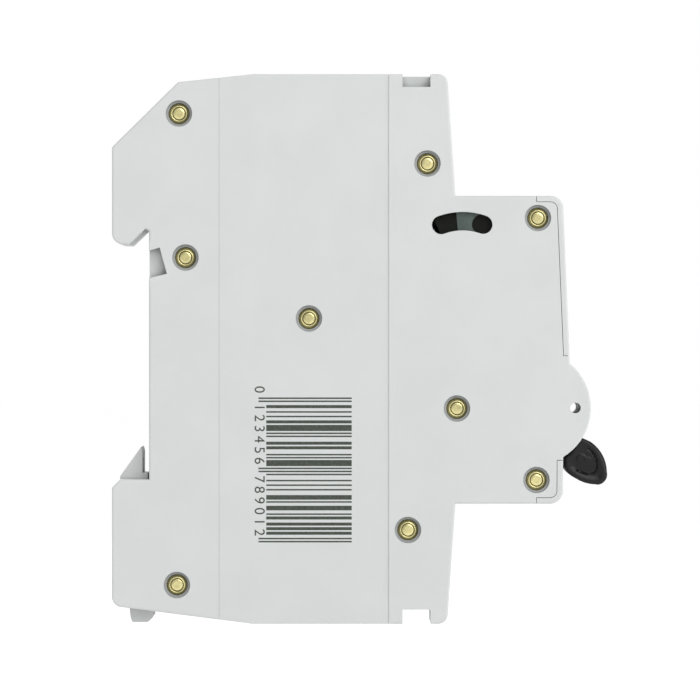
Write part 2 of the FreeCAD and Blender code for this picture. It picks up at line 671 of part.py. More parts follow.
# ---- toggle and link ----
CRANK_Y, CRANK_Z = polar(TOGGLE_Y, TOGGLE_Z, CRANK, CRANK_ANGLE)
LINK_Y, LINK_Z = polar(ARM_Y, ARM_Z, LINK_REACH, LINK_ANGLE)


def handle_profile():
    """The grip outside the housing, as offsets from the toggle's axis."""
    hug = BULGE_R + 0.2
    inner_top = polar(0, 0, hug, 211.5)
    inner_mid = polar(0, 0, hug, 224.7)
    inner_low = polar(0, 0, hug, 238.0)
    return inner_top, inner_mid, inner_low


def make_toggle():
    inner_top, inner_mid, inner_low = handle_profile()

    def at(point, x):
        return V(x, TOGGLE_Y + point[0], TOGGLE_Z + point[1])

    def grip(x0, x1):
        tip = [(-4.66, -8.95), (-6.6, -10.45), (-8.5, -11.2), (-9.6, -11.42), (-10.75, -10.75),
               (-10.97, -9.5), (-9.95, -6.4), (-8.5, -5.0)]
        start = at(inner_top, x0)
        edges = [Part.Arc(start, at(inner_mid, x0), at(inner_low, x0)).toShape()]
        edges.append(Part.LineSegment(at(inner_low, x0), at(tip[0], x0)).toShape())
        edges.append(Part.Arc(at(tip[0], x0), at(tip[1], x0), at(tip[2], x0)).toShape())
        edges.append(Part.LineSegment(at(tip[2], x0), at(tip[3], x0)).toShape())
        edges.append(Part.Arc(at(tip[3], x0), at(tip[4], x0), at(tip[5], x0)).toShape())
        edges.append(Part.Arc(at(tip[5], x0), at(tip[6], x0), at(tip[7], x0)).toShape())
        edges.append(Part.LineSegment(at(tip[7], x0), start).toShape())
        return Part.Face(Part.Wire(edges)).extrude(V(x1 - x0, 0, 0))

    barrel = rod_x(TOGGLE_Y, TOGGLE_Z, BARREL_R, -TOGGLE_HALF, TOGGLE_HALF)
    neck_points = [polar(TOGGLE_Y, TOGGLE_Z, 5.0, 214), polar(TOGGLE_Y, TOGGLE_Z, 9.4, 214),
                   polar(TOGGLE_Y, TOGGLE_Z, 9.4, 235), polar(TOGGLE_Y, TOGGLE_Z, 5.0, 235)]
    neck = plate(sharp(neck_points), -TOGGLE_HALF, TOGGLE_HALF)
    handle = grip(-HANDLE_HALF, HANDLE_HALF)
    for side in (-1, 1):
        low = min(side * (HANDLE_HALF - GRIP_RECESS), side * (HANDLE_HALF + 1))
        high = max(side * (HANDLE_HALF - GRIP_RECESS), side * (HANDLE_HALF + 1))
        dent = grip(low, high)
        middle = dent.CenterOfMass
        shrink = FreeCAD.Matrix()
        shrink.move(-middle)
        shrink.scale(V(1, GRIP_RIM, GRIP_RIM))
        shrink.move(middle)
        handle = handle.cut(dent.transformGeometry(shrink))
    slot = box(SLOT_IN, SLOT_OUT, -FAR, FAR, -FAR, FAR)
    keep = plate(sharp([polar(TOGGLE_Y, TOGGLE_Z, 4.4, 196), polar(TOGGLE_Y, TOGGLE_Z, 14, 196),
                        polar(TOGGLE_Y, TOGGLE_Z, 14, 255), polar(TOGGLE_Y, TOGGLE_Z, 4.4, 255)]),
                 SLOT_IN, SLOT_OUT)
    bridge = barrel.common(keep)
    skin = tube_x(TOGGLE_Y, TOGGLE_Z, BARREL_R, BARREL_R - 1.2, SLOT_IN, SLOT_OUT)
    way = [(TOGGLE_Y, TOGGLE_Z)]
    for degrees in (LINK_WAY_FROM, (LINK_WAY_FROM + LINK_WAY_TO) / 2, LINK_WAY_TO):
        way.append(polar(TOGGLE_Y, TOGGLE_Z, 3 * BARREL_R, degrees))
    skin = skin.cut(plate(sharp(way), SLOT_IN, SLOT_OUT))
    hub = rod_x(TOGGLE_Y, TOGGLE_Z, HUB_R, SLOT_IN, SLOT_OUT)
    recess = rod_x(TOGGLE_Y, TOGGLE_Z, 3.6, 2.6, TOGGLE_HALF + 1)
    recess_hub = rod_x(TOGGLE_Y, TOGGLE_Z, HUB_R, 2.6, TOGGLE_HALF)
    body = barrel.cut(slot).cut(recess)
    whole = join([body, bridge, skin, hub, recess_hub, neck, handle])
    cuts = [rod_x(TOGGLE_Y, TOGGLE_Z, TOGGLE_PIN_R + PIN_FIT, -FAR, FAR),
            rod_x(CRANK_Y, CRANK_Z, LINK_R + PIN_FIT, -FAR, SLOT_IN),
            rod_x(TOGGLE_Y - LOCK_REACH, TOGGLE_Z, LOCK_R + 0.05, -FAR, FAR)]
    return take(whole, cuts)


def make_link():
    """A bent wire that joins the toggle to the carrier's crank."""
    return wire_path([V(-TOGGLE_HALF + 0.1, CRANK_Y, CRANK_Z), V(LINK_X, CRANK_Y, CRANK_Z),
                      V(LINK_X, LINK_Y, LINK_Z), V(CRANK_X0, LINK_Y, LINK_Z)], LINK_R)


def make_carrier():
    """The plastic rotor that carries both contact arms and the crank."""
    hub = rod_x(ARM_Y, ARM_Z, CARRIER_R, ARM_LANE_OUT, NEUTRAL_LANE_OUT)
    reach = LINK_REACH + LINK_R + LINK_PLAY + 1.0
    points = [(ARM_Y - CARRIER_R, ARM_Z), (ARM_Y - 2.6, ARM_Z - reach, 0.8),
              (ARM_Y + 2.6, ARM_Z - reach, 0.8), (ARM_Y + CARRIER_R, ARM_Z)]
    points = [(p[0], p[1], p[2] if len(p) > 2 else 0) for p in points]
    crank = turned(plate(points, CRANK_X0, CRANK_X1), ARM_Y, ARM_Z, LINK_ANGLE - 270)
    hole = rod_x(LINK_Y, LINK_Z, LINK_R + LINK_PLAY, -FAR, FAR)
    bore = rod_x(ARM_Y, ARM_Z, ARM_PIN_R + PIN_FIT, -FAR, FAR)
    return take(join([hub, crank.cut(hole)]), [bore])


def make_arm(x0, x1):
    """A contact arm, hanging straight down before it is turned."""
    ring = rod_x(ARM_Y, ARM_Z, CARRIER_R + 1.2, x0, x1)
    blade = plate(sharp([(ARM_Y - 1.9, ARM_Z - 2), (ARM_Y + 1.9, ARM_Z - 2),
                         (ARM_Y + 1.0, ARM_Z - ARM_REACH + 1.5), (ARM_Y + 1.0, ARM_Z - ARM_REACH - 1.4),
                         (ARM_Y - 1.0, ARM_Z - ARM_REACH - 1.4),
                         (ARM_Y - 1.0, ARM_Z - ARM_REACH + 1.5)]), x0, x1)
    arm = take(join([ring, blade]), [rod_x(ARM_Y, ARM_Z, CARRIER_R + 0.02, -FAR, FAR)])
    return turned(arm, ARM_Y, ARM_Z, ARM_OPEN)


def contact_button(x0, x1, offset, degrees):
    """A silver button on a face that is offset behind the arm's middle line."""
    button = rod_y((x0 + x1) / 2, ARM_Z - ARM_REACH, min(BUTTON_R, (x1 - x0) / 2),
                   ARM_Y + offset, ARM_Y + offset + BUTTON)
    return turned(button, ARM_Y, ARM_Z, degrees)


def make_fixed_contact(x0, x1, feed):
    """The fixed contact's copper strip, up to its feed."""
    plate_mid = FIXED_FACE + BAR / 2
    corners = []
    for reach in (ARM_REACH + 2.5, ARM_REACH - 3.0):
        y, z = polar(ARM_Y, ARM_Z, reach, 270 + CLOSED)
        sideways = math.radians(CLOSED)
        corners.append((y + plate_mid * math.cos(sideways), z + plate_mid * math.sin(sideways)))
    return bent_strip(corners + feed, BAR, x0, x1)


# ---- trip lever ----


def make_lever():
    hub = rod_x(ARM_Y, ARM_Z, 2.6, LEVER_X0, LEVER_X1)
    upper = plate([(ARM_Y + SLOT_R + 1.2, ARM_Z - 1.1, 0.9), (ARM_Y + SLOT_R + 1.2, ARM_Z + 1.1, 0.9),
                   (ARM_Y, ARM_Z + 2.2, 0), (ARM_Y, ARM_Z - 2.2, 0)], LEVER_X0, LEVER_X1)
    upper = turned(upper, ARM_Y, ARM_Z, LEVER_REST)
    head = head_sector(LEVER_HEAD_IN, LEVER_HEAD_R, LEVER_HEAD_FROM, LEVER_HEAD_TO, LEVER_X0, LEVER_X1)
    tail = plate([(ARM_Y + 13.9, ARM_Z - 0.9, 0.6), (ARM_Y + 13.9, ARM_Z + 0.9, 0.6),
                  (ARM_Y, ARM_Z + 1.8, 0), (ARM_Y, ARM_Z - 1.8, 0)], LEVER_X0, LEVER_X1)
    tail = turned(tail, ARM_Y, ARM_Z, LEVER_TAIL)
    lever = join([hub, upper, head, tail])
    return take(lever, [rod_x(ARM_Y, ARM_Z, ARM_PIN_R + PIN_FIT, -FAR, FAR), lever_pin(0.01)])


def head_sector(inner, outer, start, end, x0, x1):
    """A flat sector round the lever's axis, between two directions."""
    rays = [(ARM_Y, ARM_Z)]
    for degrees in (start, (start + end) / 2, end):
        rays.append(polar(ARM_Y, ARM_Z, 2 * outer, degrees))
    return tube_x(ARM_Y, ARM_Z, outer, inner, x0, x1).common(plate(sharp(rays), x0, x1))


def lever_pin(gap):
    """The pin that both plungers strike and that an accessory can follow through the slot."""
    y, z = polar(ARM_Y, ARM_Z, SLOT_R, LEVER_REST)
    return rod_x(y, z, SLOT_PIN_R + gap, LEVER_X0 - LEAF - 0.1, LANE_MID + 1.0)


def make_leaf():
    """The steel leaf on the outside of the lever's head."""
    leaf = head_sector(LEVER_HEAD_IN + 0.3, LEVER_HEAD_R - 0.2, LEAF_FROM, LEAF_TO,
                       LEVER_X0 - LEAF, LEVER_X0)
    return take(leaf, [lever_pin(0.02)])


# ---- magnetic trip ----


def make_bobbin(x):
    core = rod_y(x, COIL_Z, PLUNGER_R + 0.5, COIL_FRONT, COIL_BACK)
    flanges = [rod_y(x, COIL_Z, COIL_R, COIL_FRONT, COIL_FRONT + 0.8),
               rod_y(x, COIL_Z, COIL_R, COIL_BACK - 0.8, COIL_BACK)]
    return take(join([core] + flanges), [rod_y(x, COIL_Z, PLUNGER_R + PIN_FIT, -FAR, FAR)])


def make_winding(x):
    """Close turns of round wire, drawn as rings on a sleeve."""
    inner = PLUNGER_R + 0.55
    wire = (COIL_R - 0.15 - inner) / 2
    y0 = COIL_FRONT + 0.9
    count = int((COIL_BACK - COIL_FRONT - 1.8) / (2 * wire))
    rings = [rod_y(x, COIL_Z, inner + wire, y0, y0 + count * 2 * wire)]
    for i in range(count):
        centre = V(x, y0 + wire * (2 * i + 1), COIL_Z)
        rings.append(Part.makeTorus(inner + wire, wire * 0.98, centre, V(0, 1, 0)))
    return take(join(rings), [rod_y(x, COIL_Z, inner, -FAR, FAR)])


def make_yoke(x):
    """A steel frame round the coil, open at its lower side."""
    half = COIL_R
    front = box(x - half, x + half, COIL_FRONT - YOKE, COIL_FRONT - 0.05, COIL_Z - COIL_R,
                COIL_Z + COIL_R + YOKE)
    rear = box(x - half, x + half, COIL_BACK + 0.05, COIL_BACK + YOKE, COIL_Z - COIL_R,
               COIL_Z + COIL_R + YOKE)
    top = box(x - half, x + half, COIL_FRONT - YOKE, COIL_BACK + YOKE, COIL_Z + COIL_R + 0.05,
              COIL_Z + COIL_R + YOKE)
    return take(join([front, rear, top]), [rod_y(x, COIL_Z, PLUNGER_R + PIN_FIT, -FAR, COIL_BACK)])


def make_plunger(x):
    """A pin with a striking head in front of the yoke."""
    shaft = rod_y(x, COIL_Z, PLUNGER_R, PLUNGER_TIP, COIL_BACK - 4.0)
    head = rod_y(x, COIL_Z, PLUNGER_R + 0.6, PLUNGER_TIP, PLUNGER_TIP + 1.0)
    return join([shaft, head])


# ---- terminals ----
def make_screw(side, up):
    x, z = terminal_axis(side, up)
    head = rod_y(x, z, SCREW_HEAD_R, HEAD_FRONT, HEAD_FRONT + SCREW_HEAD)
    shank = rod_y(x, z, SCREW_R, HEAD_FRONT + SCREW_HEAD, -BAR_FRONT - 0.05)
    slots = [box(x - 1.9, x + 1.9, HEAD_FRONT - 1, HEAD_FRONT + 1.3, z - 0.4, z + 0.4),
             box(x - 0.4, x + 0.4, HEAD_FRONT - 1, HEAD_FRONT + 1.3, z - 1.3, z + 1.3)]
    return take(join([head, shank]), slots)


def make_cage(side, up):
    """A box clamp that the screw draws towards the front."""
    x, z = terminal_axis(side, up)
    half = LANE / 2 - CAGE_GAP
    y0 = -BAR_FRONT - CAGE_FRONT - 0.3
    y1 = -BAR_FRONT + BAR + WIRE_GAP + CAGE_WALL
    outer = box(x - half, x + half, y0, y1, z - CAGE_HEIGHT / 2, z + CAGE_HEIGHT / 2)
    inner = box(x - half + CAGE_WALL, x + half - CAGE_WALL, y0 + CAGE_FRONT, y1 - CAGE_WALL, -FAR, FAR)
    thread = rod_y(x, z, SCREW_R + SCREW_FIT, -FAR, -BAR_FRONT)
    return take(outer, [inner, thread])


def bar_half():
    return LANE / 2 - CAGE_GAP - CAGE_WALL - 0.2


def make_bar(side, up, inner_end):
    """The copper bar in a cage, running inwards to inner_end."""
    x, z = terminal_axis(side, up)
    outer_end = z + up * (CAGE_HEIGHT / 2 + 0.2)
    low, high = min(inner_end, outer_end), max(inner_end, outer_end)
    return box(x - bar_half(), x + bar_half(), -BAR_FRONT, -BAR_FRONT + BAR, low, high)


# ---- rail clip ----
def make_clip():
    tab_back = CLIP_FAR - 1.3
    points = [(CLIP_NEAR, -18.2, 0), (1.1, -18.2, 0), (1.1, -CLIP_NOSE - 0.6, 0),
              (1.3, -CLIP_NOSE, 0), (CLIP_FAR, -FOOT_TOP + 0.4, 0), (CLIP_FAR, -BOTTOM + 3.8, 0),
              (tab_back, -BOTTOM + 3.2, 0), (tab_back - 0.25, -BOTTOM + 0.9, 0),
              (tab_back - 0.5, -BOTTOM + 0.1, 0.3), (0.3, -BOTTOM + 0.1, 0), (-0.45, -BOTTOM + 0.8, 0),
              (-0.45, -BOTTOM + 3.3, 0), (CLIP_NEAR, -BOTTOM + 3.9, 0)]
    body = plate(points, -CLIP_HALF, CLIP_HALF)
    window = box(-CLIP_WINDOW_HALF, CLIP_WINDOW_HALF, -1, CLIP_FAR + 1,
                 CLIP_PEG_Z - CLIP_PEG - 0.6, -CLIP_WINDOW_TOP)
    cuts = [window]
    for i in range(5):
        z = -BOTTOM + 0.7 + i * 0.45
        cuts.append(box(-CLIP_HALF + 0.8, CLIP_HALF - 0.8, -1, -0.25, z, z + 0.2))
    return take(body, cuts)


# ---- thermal trip, arc chute and leads ----


def make_bimetal():
    x0 = LEVER_X0
    wide = box(x0, ARM_LANE_IN, STRIP_Y, STRIP_Y + STRIP, STRIP_FOOT, STRIP_TOP)
    finger = box(x0, LEVER_X1, STRIP_Y, STRIP_Y + STRIP, STRIP_TOP - 1, FINGER_TOP)
    return join([wide, finger])


def make_bimetal_bracket():
    """The steel foot that the bimetal strip is welded to; its screw sets the trip current."""
    y1 = -BAR_FRONT - 1.0
    upright = box(LEVER_X0, ARM_LANE_IN, STRIP_Y + STRIP + 0.02, STRIP_Y + STRIP + 1.2,
                  STRIP_FOOT, STRIP_FOOT + 4.5)
    foot = box(LEVER_X0, ARM_LANE_IN, STRIP_Y + STRIP + 0.02, y1, STRIP_FOOT - 1.1, STRIP_FOOT)
    hole = rod_z((LEVER_X0 + ARM_LANE_IN) / 2, TRIM_Y, TRIM_R + PIN_FIT, -FAR, 0)
    return take(join([upright, foot]), [hole])


def make_calibration_screw():
    x = (LEVER_X0 + ARM_LANE_IN) / 2
    shank = rod_z(x, TRIM_Y, TRIM_R, STRIP_FOOT - 1.8, STRIP_FOOT + 1.2)
    head = rod_z(x, TRIM_Y, TRIM_R + 0.6, STRIP_FOOT - 2.8, STRIP_FOOT - 1.15)
    slot = box(x - 0.25, x + 0.25, -FAR, 0, -FAR, STRIP_FOOT - 2.2)
    return take(join([shank, head]), [slot])


def make_chute_plates():
    """Steel plates that split the arc, each with a notch towards the contacts."""
    plates = []
    x0 = -LANE_OUT + 0.15 + CARD
    x1 = -LANE_IN - 0.15 - CARD
    middle = (x0 + x1) / 2
    for i in range(CHUTE_PLATES):
        z = CHUTE_TOP - CHUTE_PLATE - i * CHUTE_PITCH
        notch = box(middle - 1.1, middle + 1.1, CHUTE_FRONT - 1, CHUTE_FRONT + 4.0, z - 1, z + 2)
        round_end = rod_z(middle, CHUTE_FRONT + 4.0, 1.1, z - 1, z + 2)
        slab = box(x0, x1, CHUTE_FRONT, CHUTE_BACK, z, z + CHUTE_PLATE)
        plates.append(take(slab, [notch, round_end]))
    return Part.makeCompound(plates)


def make_chute_cards():
    """Two fibre cards that hold the plates."""
    low = CHUTE_TOP - (CHUTE_PLATES - 1) * CHUTE_PITCH - CHUTE_PLATE - 0.4
    cards = []
    for x in (-LANE_OUT + 0.15, -LANE_IN - 0.15 - CARD):
        card = box(x, x + CARD, CHUTE_FRONT + 0.5, CHUTE_BACK - 0.5, low, CHUTE_TOP + 0.4)
        cards.append(card)
    return Part.makeCompound(cards)


def make_arc_runner():
    """A steel strip that leads the arc from the contacts to the top plate."""
    top = CHUTE_TOP + 1.0
    return bent_strip([(-33.6, top - 3.5), (-31.6, top), (CHUTE_BACK + 1.0, top)], 0.8,
                      ARM_LANE_OUT, ARM_LANE_IN)


def make_lead(side):
    """A flexible copper lead from the mechanism through the core to the lower bar."""
    x = side * LEAD_X
    lane = side * LANE_MID
    start_y = -33.2 if side < 0 else -27.0
    above = CORE_Z + CORE_HALF + LEAD_R + 0.4
    below = CORE_Z - CORE_HALF - LEAD_R - 0.3
    return wire_path([V(lane, start_y, above), V(lane, CORE_Y - CORE_R - 1.5, above),
                      V(x, CORE_Y, above), V(x, CORE_Y, below),
                      V(lane, CORE_Y - CORE_R - 1.5, below),
                      V(lane, -BAR_FRONT + BAR + LEAD_R + 0.05, below)], LEAD_R)


# ---- residual-current side ----
def make_core():
    """The ring core of the current transformer, inside its winding."""
    ring = rod_z(0, CORE_Y, CORE_R - WINDING, CORE_Z - CORE_HALF + WINDING_END,
                 CORE_Z + CORE_HALF - WINDING_END)
    return ring.cut(rod_z(0, CORE_Y, CORE_BORE_R + WINDING, -FAR, FAR))


def make_core_winding():
    """The sensing winding round the core, with rounded edges and ribs for its layers."""
    outer = rod_z(0, CORE_Y, CORE_R, CORE_Z - CORE_HALF, CORE_Z + CORE_HALF)
    winding = outer.cut(rod_z(0, CORE_Y, CORE_BORE_R, -FAR, FAR))
    winding = winding.makeFillet(0.5, winding.Edges)
    wall = WINDING - CORE_PLAY
    end = WINDING_END - CORE_PLAY
    room = rod_z(0, CORE_Y, CORE_R - wall, CORE_Z - CORE_HALF + end, CORE_Z + CORE_HALF - end)
    room = room.cut(rod_z(0, CORE_Y, CORE_BORE_R + wall, -FAR, FAR))
    grooves = []
    for i in range(24):
        groove = box(CORE_R - 0.15, CORE_R + 1, CORE_Y - 0.15, CORE_Y + 0.15, -FAR, FAR)
        groove.rotate(V(0, CORE_Y, 0), V(0, 0, 1), 15.0 * i + 7.5)
        grooves.append(groove)
    return take(winding, [room] + grooves)


def make_board():
    board = box(BOARD_X, BOARD_X + BOARD, BOARD_FRONT, BOARD_BACK, BOARD_LOW, BOARD_HIGH)
    holes = [rod_x(y, z, 0.5, -FAR, FAR) for y, z in ((-31.5, -1.0), (-10.0, -17.0))]
    return take(board, holes)


def make_board_parts():
    """Chip, rectifier, capacitor, surge disc and resistors on the board."""
    face = BOARD_X
    parts = [box(face - 1.6, face, -24.5, -18.5, -11.0, -7.0),
             box(face - 2.2, face, -31.5, -27.5, -8.0, -4.0),
             rod_x(-14.0, -12.5, 2.6, face - 4.0, face),
             rod_x(-13.0, -5.0, 3.4, face - 2.0, face)]
    for i in range(4):
        parts.append(rod_z(face - 0.8, -30.5 + i * 2.2, 0.75, -17.0, -12.5))
    return Part.makeCompound(parts)


def make_relay():
    """The small solenoid that the residual-current board fires."""
    can = rod_y(RELAY_X, RELAY_Z, RELAY_R, RELAY_FRONT, -BAR_FRONT - 0.5)
    ends = [rod_y(RELAY_X, RELAY_Z, RELAY_R + 0.3, RELAY_FRONT - 0.6, RELAY_FRONT),
            rod_y(RELAY_X, RELAY_Z, RELAY_R + 0.3, -BAR_FRONT - 0.9, -BAR_FRONT - 0.3)]
    return take(join([can] + ends),
                [rod_y(RELAY_X, RELAY_Z, RELAY_PLUNGER_R + PIN_FIT, -FAR, -BAR_FRONT - 1.5)])


def make_relay_plunger():
    return join([rod_y(RELAY_X, RELAY_Z, RELAY_PLUNGER_R, RELAY_TIP, -BAR_FRONT - 3.4),
                 rod_y(RELAY_X, RELAY_Z, RELAY_PLUNGER_R + 0.55, RELAY_TIP, RELAY_TIP + 0.9)])


# ---- test button ----
def make_test_button():
    """A round button with a flange behind the fascia and a stem for its spring."""
    face = BUTTON_FRONT + TEST_SUNK
    rim = BUTTON_FRONT + FASCIA + FASCIA_SEAM + NOSE_WALL + TEST_CLEAR
    cap = rod_y(0, BUTTON_Z, TEST_R, face, TEST_SHOULDER)
    cap = cap.makeFillet(0.35, [e for e in cap.Edges if abs(e.CenterOfMass.y - face) < 0.01
                                and e.Closed and e.Length > 1])
    flange = rod_y(0, BUTTON_Z, TEST_R + TEST_FLANGE, rim, rim + TEST_FLANGE)
    stem = rod_y(0, BUTTON_Z, TEST_STEM_R, TEST_SHOULDER, TEST_STOP - 0.6)
    return join([cap, flange, stem])


def make_test_contact():
    """The bronze leaf behind the test button; its window guides the stem."""
    leaf = box(-3.4, 3.4, TEST_STOP, TEST_STOP + TEST_PLATE, BUTTON_Z - 3.0, BUTTON_Z + 3.0)
    return take(leaf, [rod_y(0, BUTTON_Z, TEST_STEM_R + 0.2, -FAR, 0)])


# ---- build ----
def build():
    os.makedirs("parts", exist_ok=True)
    line_x = -LANE_MID
    neutral_x = LANE_MID

    save("left_cover", make_cover(-1))
    save("right_cover", make_cover(1))
    save("middle_frame", make_frame())
    save("front_fascia", make_fascia())
    save("housing_rivets", make_rivets())

    save("toggle", make_toggle())
    save("toggle_pin", rod_x(TOGGLE_Y, TOGGLE_Z, TOGGLE_PIN_R, -LANE_OUT - 0.25, LANE_OUT + 0.25))
    spring = ring_stack(TOGGLE_Y, TOGGLE_Z, TOGGLE_SPRING_R, TOGGLE_WIRE, 2.75, 2)
    leg = rod_x(TOGGLE_Y, TOGGLE_Z + TOGGLE_SPRING_R, TOGGLE_WIRE, 3.3, TOGGLE_HALF + 1.1)
    save("toggle_spring", join([spring, leg]))
    save("toggle_link", make_link())

    save("contact_carrier", make_carrier())
    save("carrier_pin", rod_x(ARM_Y, ARM_Z, ARM_PIN_R, -LANE_OUT - 0.25, LANE_OUT + 0.25))
    save("line_contact_arm", make_arm(ARM_LANE_OUT, ARM_LANE_IN))
    save("neutral_contact_arm", make_arm(NEUTRAL_LANE_IN, NEUTRAL_LANE_OUT))
    lanes = [(ARM_LANE_OUT, ARM_LANE_IN), (NEUTRAL_LANE_IN, NEUTRAL_LANE_OUT)]
    save("moving_contact_buttons",
         Part.makeCompound([contact_button(a, b, 1.0, ARM_OPEN) for a, b in lanes]))
    save("fixed_contact_buttons",
         Part.makeCompound([contact_button(a, b, FIXED_FACE - BUTTON, CLOSED) for a, b in lanes]))
    bar_mid = -BAR_FRONT + BAR / 2
    strip_end = COIL_Z - COIL_R - 0.6 - BAR / 2
    save("line_fixed_contact", make_fixed_contact(ARM_LANE_OUT, ARM_LANE_IN, [(-32.0, strip_end)]))
    save("neutral_fixed_contact",
         make_fixed_contact(NEUTRAL_LANE_IN, NEUTRAL_LANE_OUT, [(bar_mid, 9.0), (bar_mid, COIL_Z)]))
    save("contact_spring", ring_stack(ARM_Y, ARM_Z, CARRIER_R + 0.55, SPRING_WIRE, -2.4, 3))
    save("trip_lever", make_lever())
    save("trip_lever_pin", lever_pin(0))
    save("trip_lever_leaf", make_leaf())

    save("coil_bobbin", make_bobbin(line_x))
    save("coil_winding", make_winding(line_x))
    save("coil_yoke", make_yoke(line_x))
    save("coil_plunger", make_plunger(line_x))
    head_back = PLUNGER_TIP + 1.0
    save("plunger_spring", coil_spring(V(line_x, head_back + 0.05, COIL_Z), V(0, 1, 0),
                                       COIL_FRONT - YOKE - head_back - 0.1, PLUNGER_R + 0.45, 0.18, 4))

    for name, side, up in terminal_places():
        save("terminal_screw_" + name, make_screw(side, up))
        save("terminal_cage_" + name, make_cage(side, up))
    save("line_inlet_bar", make_bar(-1, 1, COIL_Z + COIL_R + YOKE + 0.05))
    save("line_outlet_bar", make_bar(-1, -1, CORE_Z - CORE_HALF))
    save("neutral_inlet_bar", make_bar(1, 1, COIL_Z + 0.7))
    save("neutral_outlet_bar", make_bar(1, -1, CORE_Z - CORE_HALF))

    save("bimetal_strip", make_bimetal())
    save("bimetal_bracket", make_bimetal_bracket())
    save("calibration_screw", make_calibration_screw())
    save("arc_chute_plates", make_chute_plates())
    save("arc_chute_cards", make_chute_cards())
    save("arc_runner", make_arc_runner())
    save("line_lead", make_lead(-1))
    save("neutral_lead", make_lead(1))
    save("transformer_core", make_core())
    save("transformer_winding", make_core_winding())
    save("circuit_board", make_board())
    save("board_components", make_board_parts())
    save("residual_trip_coil", make_relay())
    save("residual_trip_plunger", make_relay_plunger())
    save("test_button", make_test_button())
    save("test_spring", coil_spring(V(0, TEST_SHOULDER + 0.05, BUTTON_Z), V(0, 1, 0),
                                    TEST_STOP - TEST_SHOULDER - 0.1, 1.35, 0.15, 5))
    save("test_contact", make_test_contact())

    save("rail_clip", make_clip())
    save("clip_spring", coil_spring(V(0, (CLIP_NEAR + CLIP_FAR) / 2, CLIP_PEG_Z + 0.05), V(0, 0, 1),
                                    -CLIP_WINDOW_TOP - CLIP_PEG_Z - 0.1, 1.35, SPRING_WIRE, 6))


build()
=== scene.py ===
import math

import bmesh
import bpy
from mathutils import Matrix, Vector


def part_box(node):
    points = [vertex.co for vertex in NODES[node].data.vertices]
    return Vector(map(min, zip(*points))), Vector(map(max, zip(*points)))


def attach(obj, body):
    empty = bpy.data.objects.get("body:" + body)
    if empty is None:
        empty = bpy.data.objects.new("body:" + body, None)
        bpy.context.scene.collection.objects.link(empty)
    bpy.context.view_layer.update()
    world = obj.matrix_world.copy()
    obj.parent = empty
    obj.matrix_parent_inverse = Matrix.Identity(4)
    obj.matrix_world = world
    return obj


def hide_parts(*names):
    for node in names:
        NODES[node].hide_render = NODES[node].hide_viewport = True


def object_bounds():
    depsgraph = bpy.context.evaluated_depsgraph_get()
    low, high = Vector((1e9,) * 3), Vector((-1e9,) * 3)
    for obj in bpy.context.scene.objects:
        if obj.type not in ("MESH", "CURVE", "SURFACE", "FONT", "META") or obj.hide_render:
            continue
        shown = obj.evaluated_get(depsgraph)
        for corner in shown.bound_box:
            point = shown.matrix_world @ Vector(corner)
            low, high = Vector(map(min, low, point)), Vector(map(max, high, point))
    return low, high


bl_info = {
    "name": "Rail Breaker Looks",
    "version": (1, 0, 0),
    "blender": (4, 5, 0),
    "location": "3D View > Sidebar > Breaker",
    "description": "Finishes, print and stage for a rail-mounted residual-current breaker",
    "category": "Object",
}

MM = 0.001

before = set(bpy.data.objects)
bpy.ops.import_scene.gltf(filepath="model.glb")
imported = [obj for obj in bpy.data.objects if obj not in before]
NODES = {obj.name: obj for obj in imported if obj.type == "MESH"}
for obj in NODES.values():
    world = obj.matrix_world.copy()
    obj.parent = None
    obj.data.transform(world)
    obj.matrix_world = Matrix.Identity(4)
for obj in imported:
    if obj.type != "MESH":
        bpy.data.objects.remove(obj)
CAD_BOX = [list(corner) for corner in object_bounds()]


def hex_colour(text):
    """An sRGB hex value as a linear colour with full alpha."""
    parts = [int(text[i:i + 2], 16) / 255 for i in (0, 2, 4)]
    return [c / 12.92 if c <= 0.04045 else ((c + 0.055) / 1.055) ** 2.4 for c in parts] + [1.0]


# ---- sizes and colours ----
def length(name, description, millimetres):
    """A size the panel shows, given in millimetres."""
    return bpy.props.FloatProperty(name=name, description=description, unit="LENGTH",
                                   default=millimetres * MM, min=0.0, precision=5)


def colour(name, description, text):
    """A colour the panel shows, given as sRGB hex digits."""
    return bpy.props.FloatVectorProperty(name=name, description=description, subtype="COLOR",
                                         size=4, min=0.0, max=1.0, default=hex_colour(text))


class BreakerSizes(bpy.types.PropertyGroup):
    flange_radius: length("Flange radius", "Sloping flange at each end of a rivet", 1.55)
    flange_height: length("Flange height", "Thickness of that flange", 0.3)
    ring_radius: length("Ring radius", "Middle line of the rolled ring on a rivet's end", 1.1)
    roll_radius: length("Roll radius", "Half the thickness of the rolled ring", 0.12)
    disc_radius: length("Disc radius", "Flat middle inside the ring", 0.85)
    hollow_depth: length("Hollow depth", "Depth of the groove round the flat middle", 0.3)
    shank_radius: length("Shank radius", "Rivet between its two flanges", 1.2)
    bar_module: length("Bar module", "Width of the narrowest printed bar", 0.225)
    bar_length: length("Bar length", "Length of a printed bar", 12.6)
    guard_extra: length("Guard bar extra", "How much longer the guard bars are", 1.15)
    bar_start: length("Bars' front end", "Rail plane to the guard bars' near ends", 16.15)
    bars_top: length("Bars' top", "How far below the rail's centre line the bars begin", 7.0)
    ink: length("Ink", "Thickness of the print", 0.008)
    digit_height: length("Digit height", "Height of the printed digits", 1.55)
    digit_gap: length("Digit gap", "Rail plane to the digits' feet", 15.6)
    grip_rise: length("Grip crown", "How far the sides of the toggle's grip are crowned", 0.22)
    groove_depth: length("Groove depth", "Depth of the curved groove in the grip's side", 0.2)
    floor_gap: length("Floor gap", "Floor below the lowest point", 25.0)
    camera_away: length("Camera distance", "Camera to the left cover", 800.0)


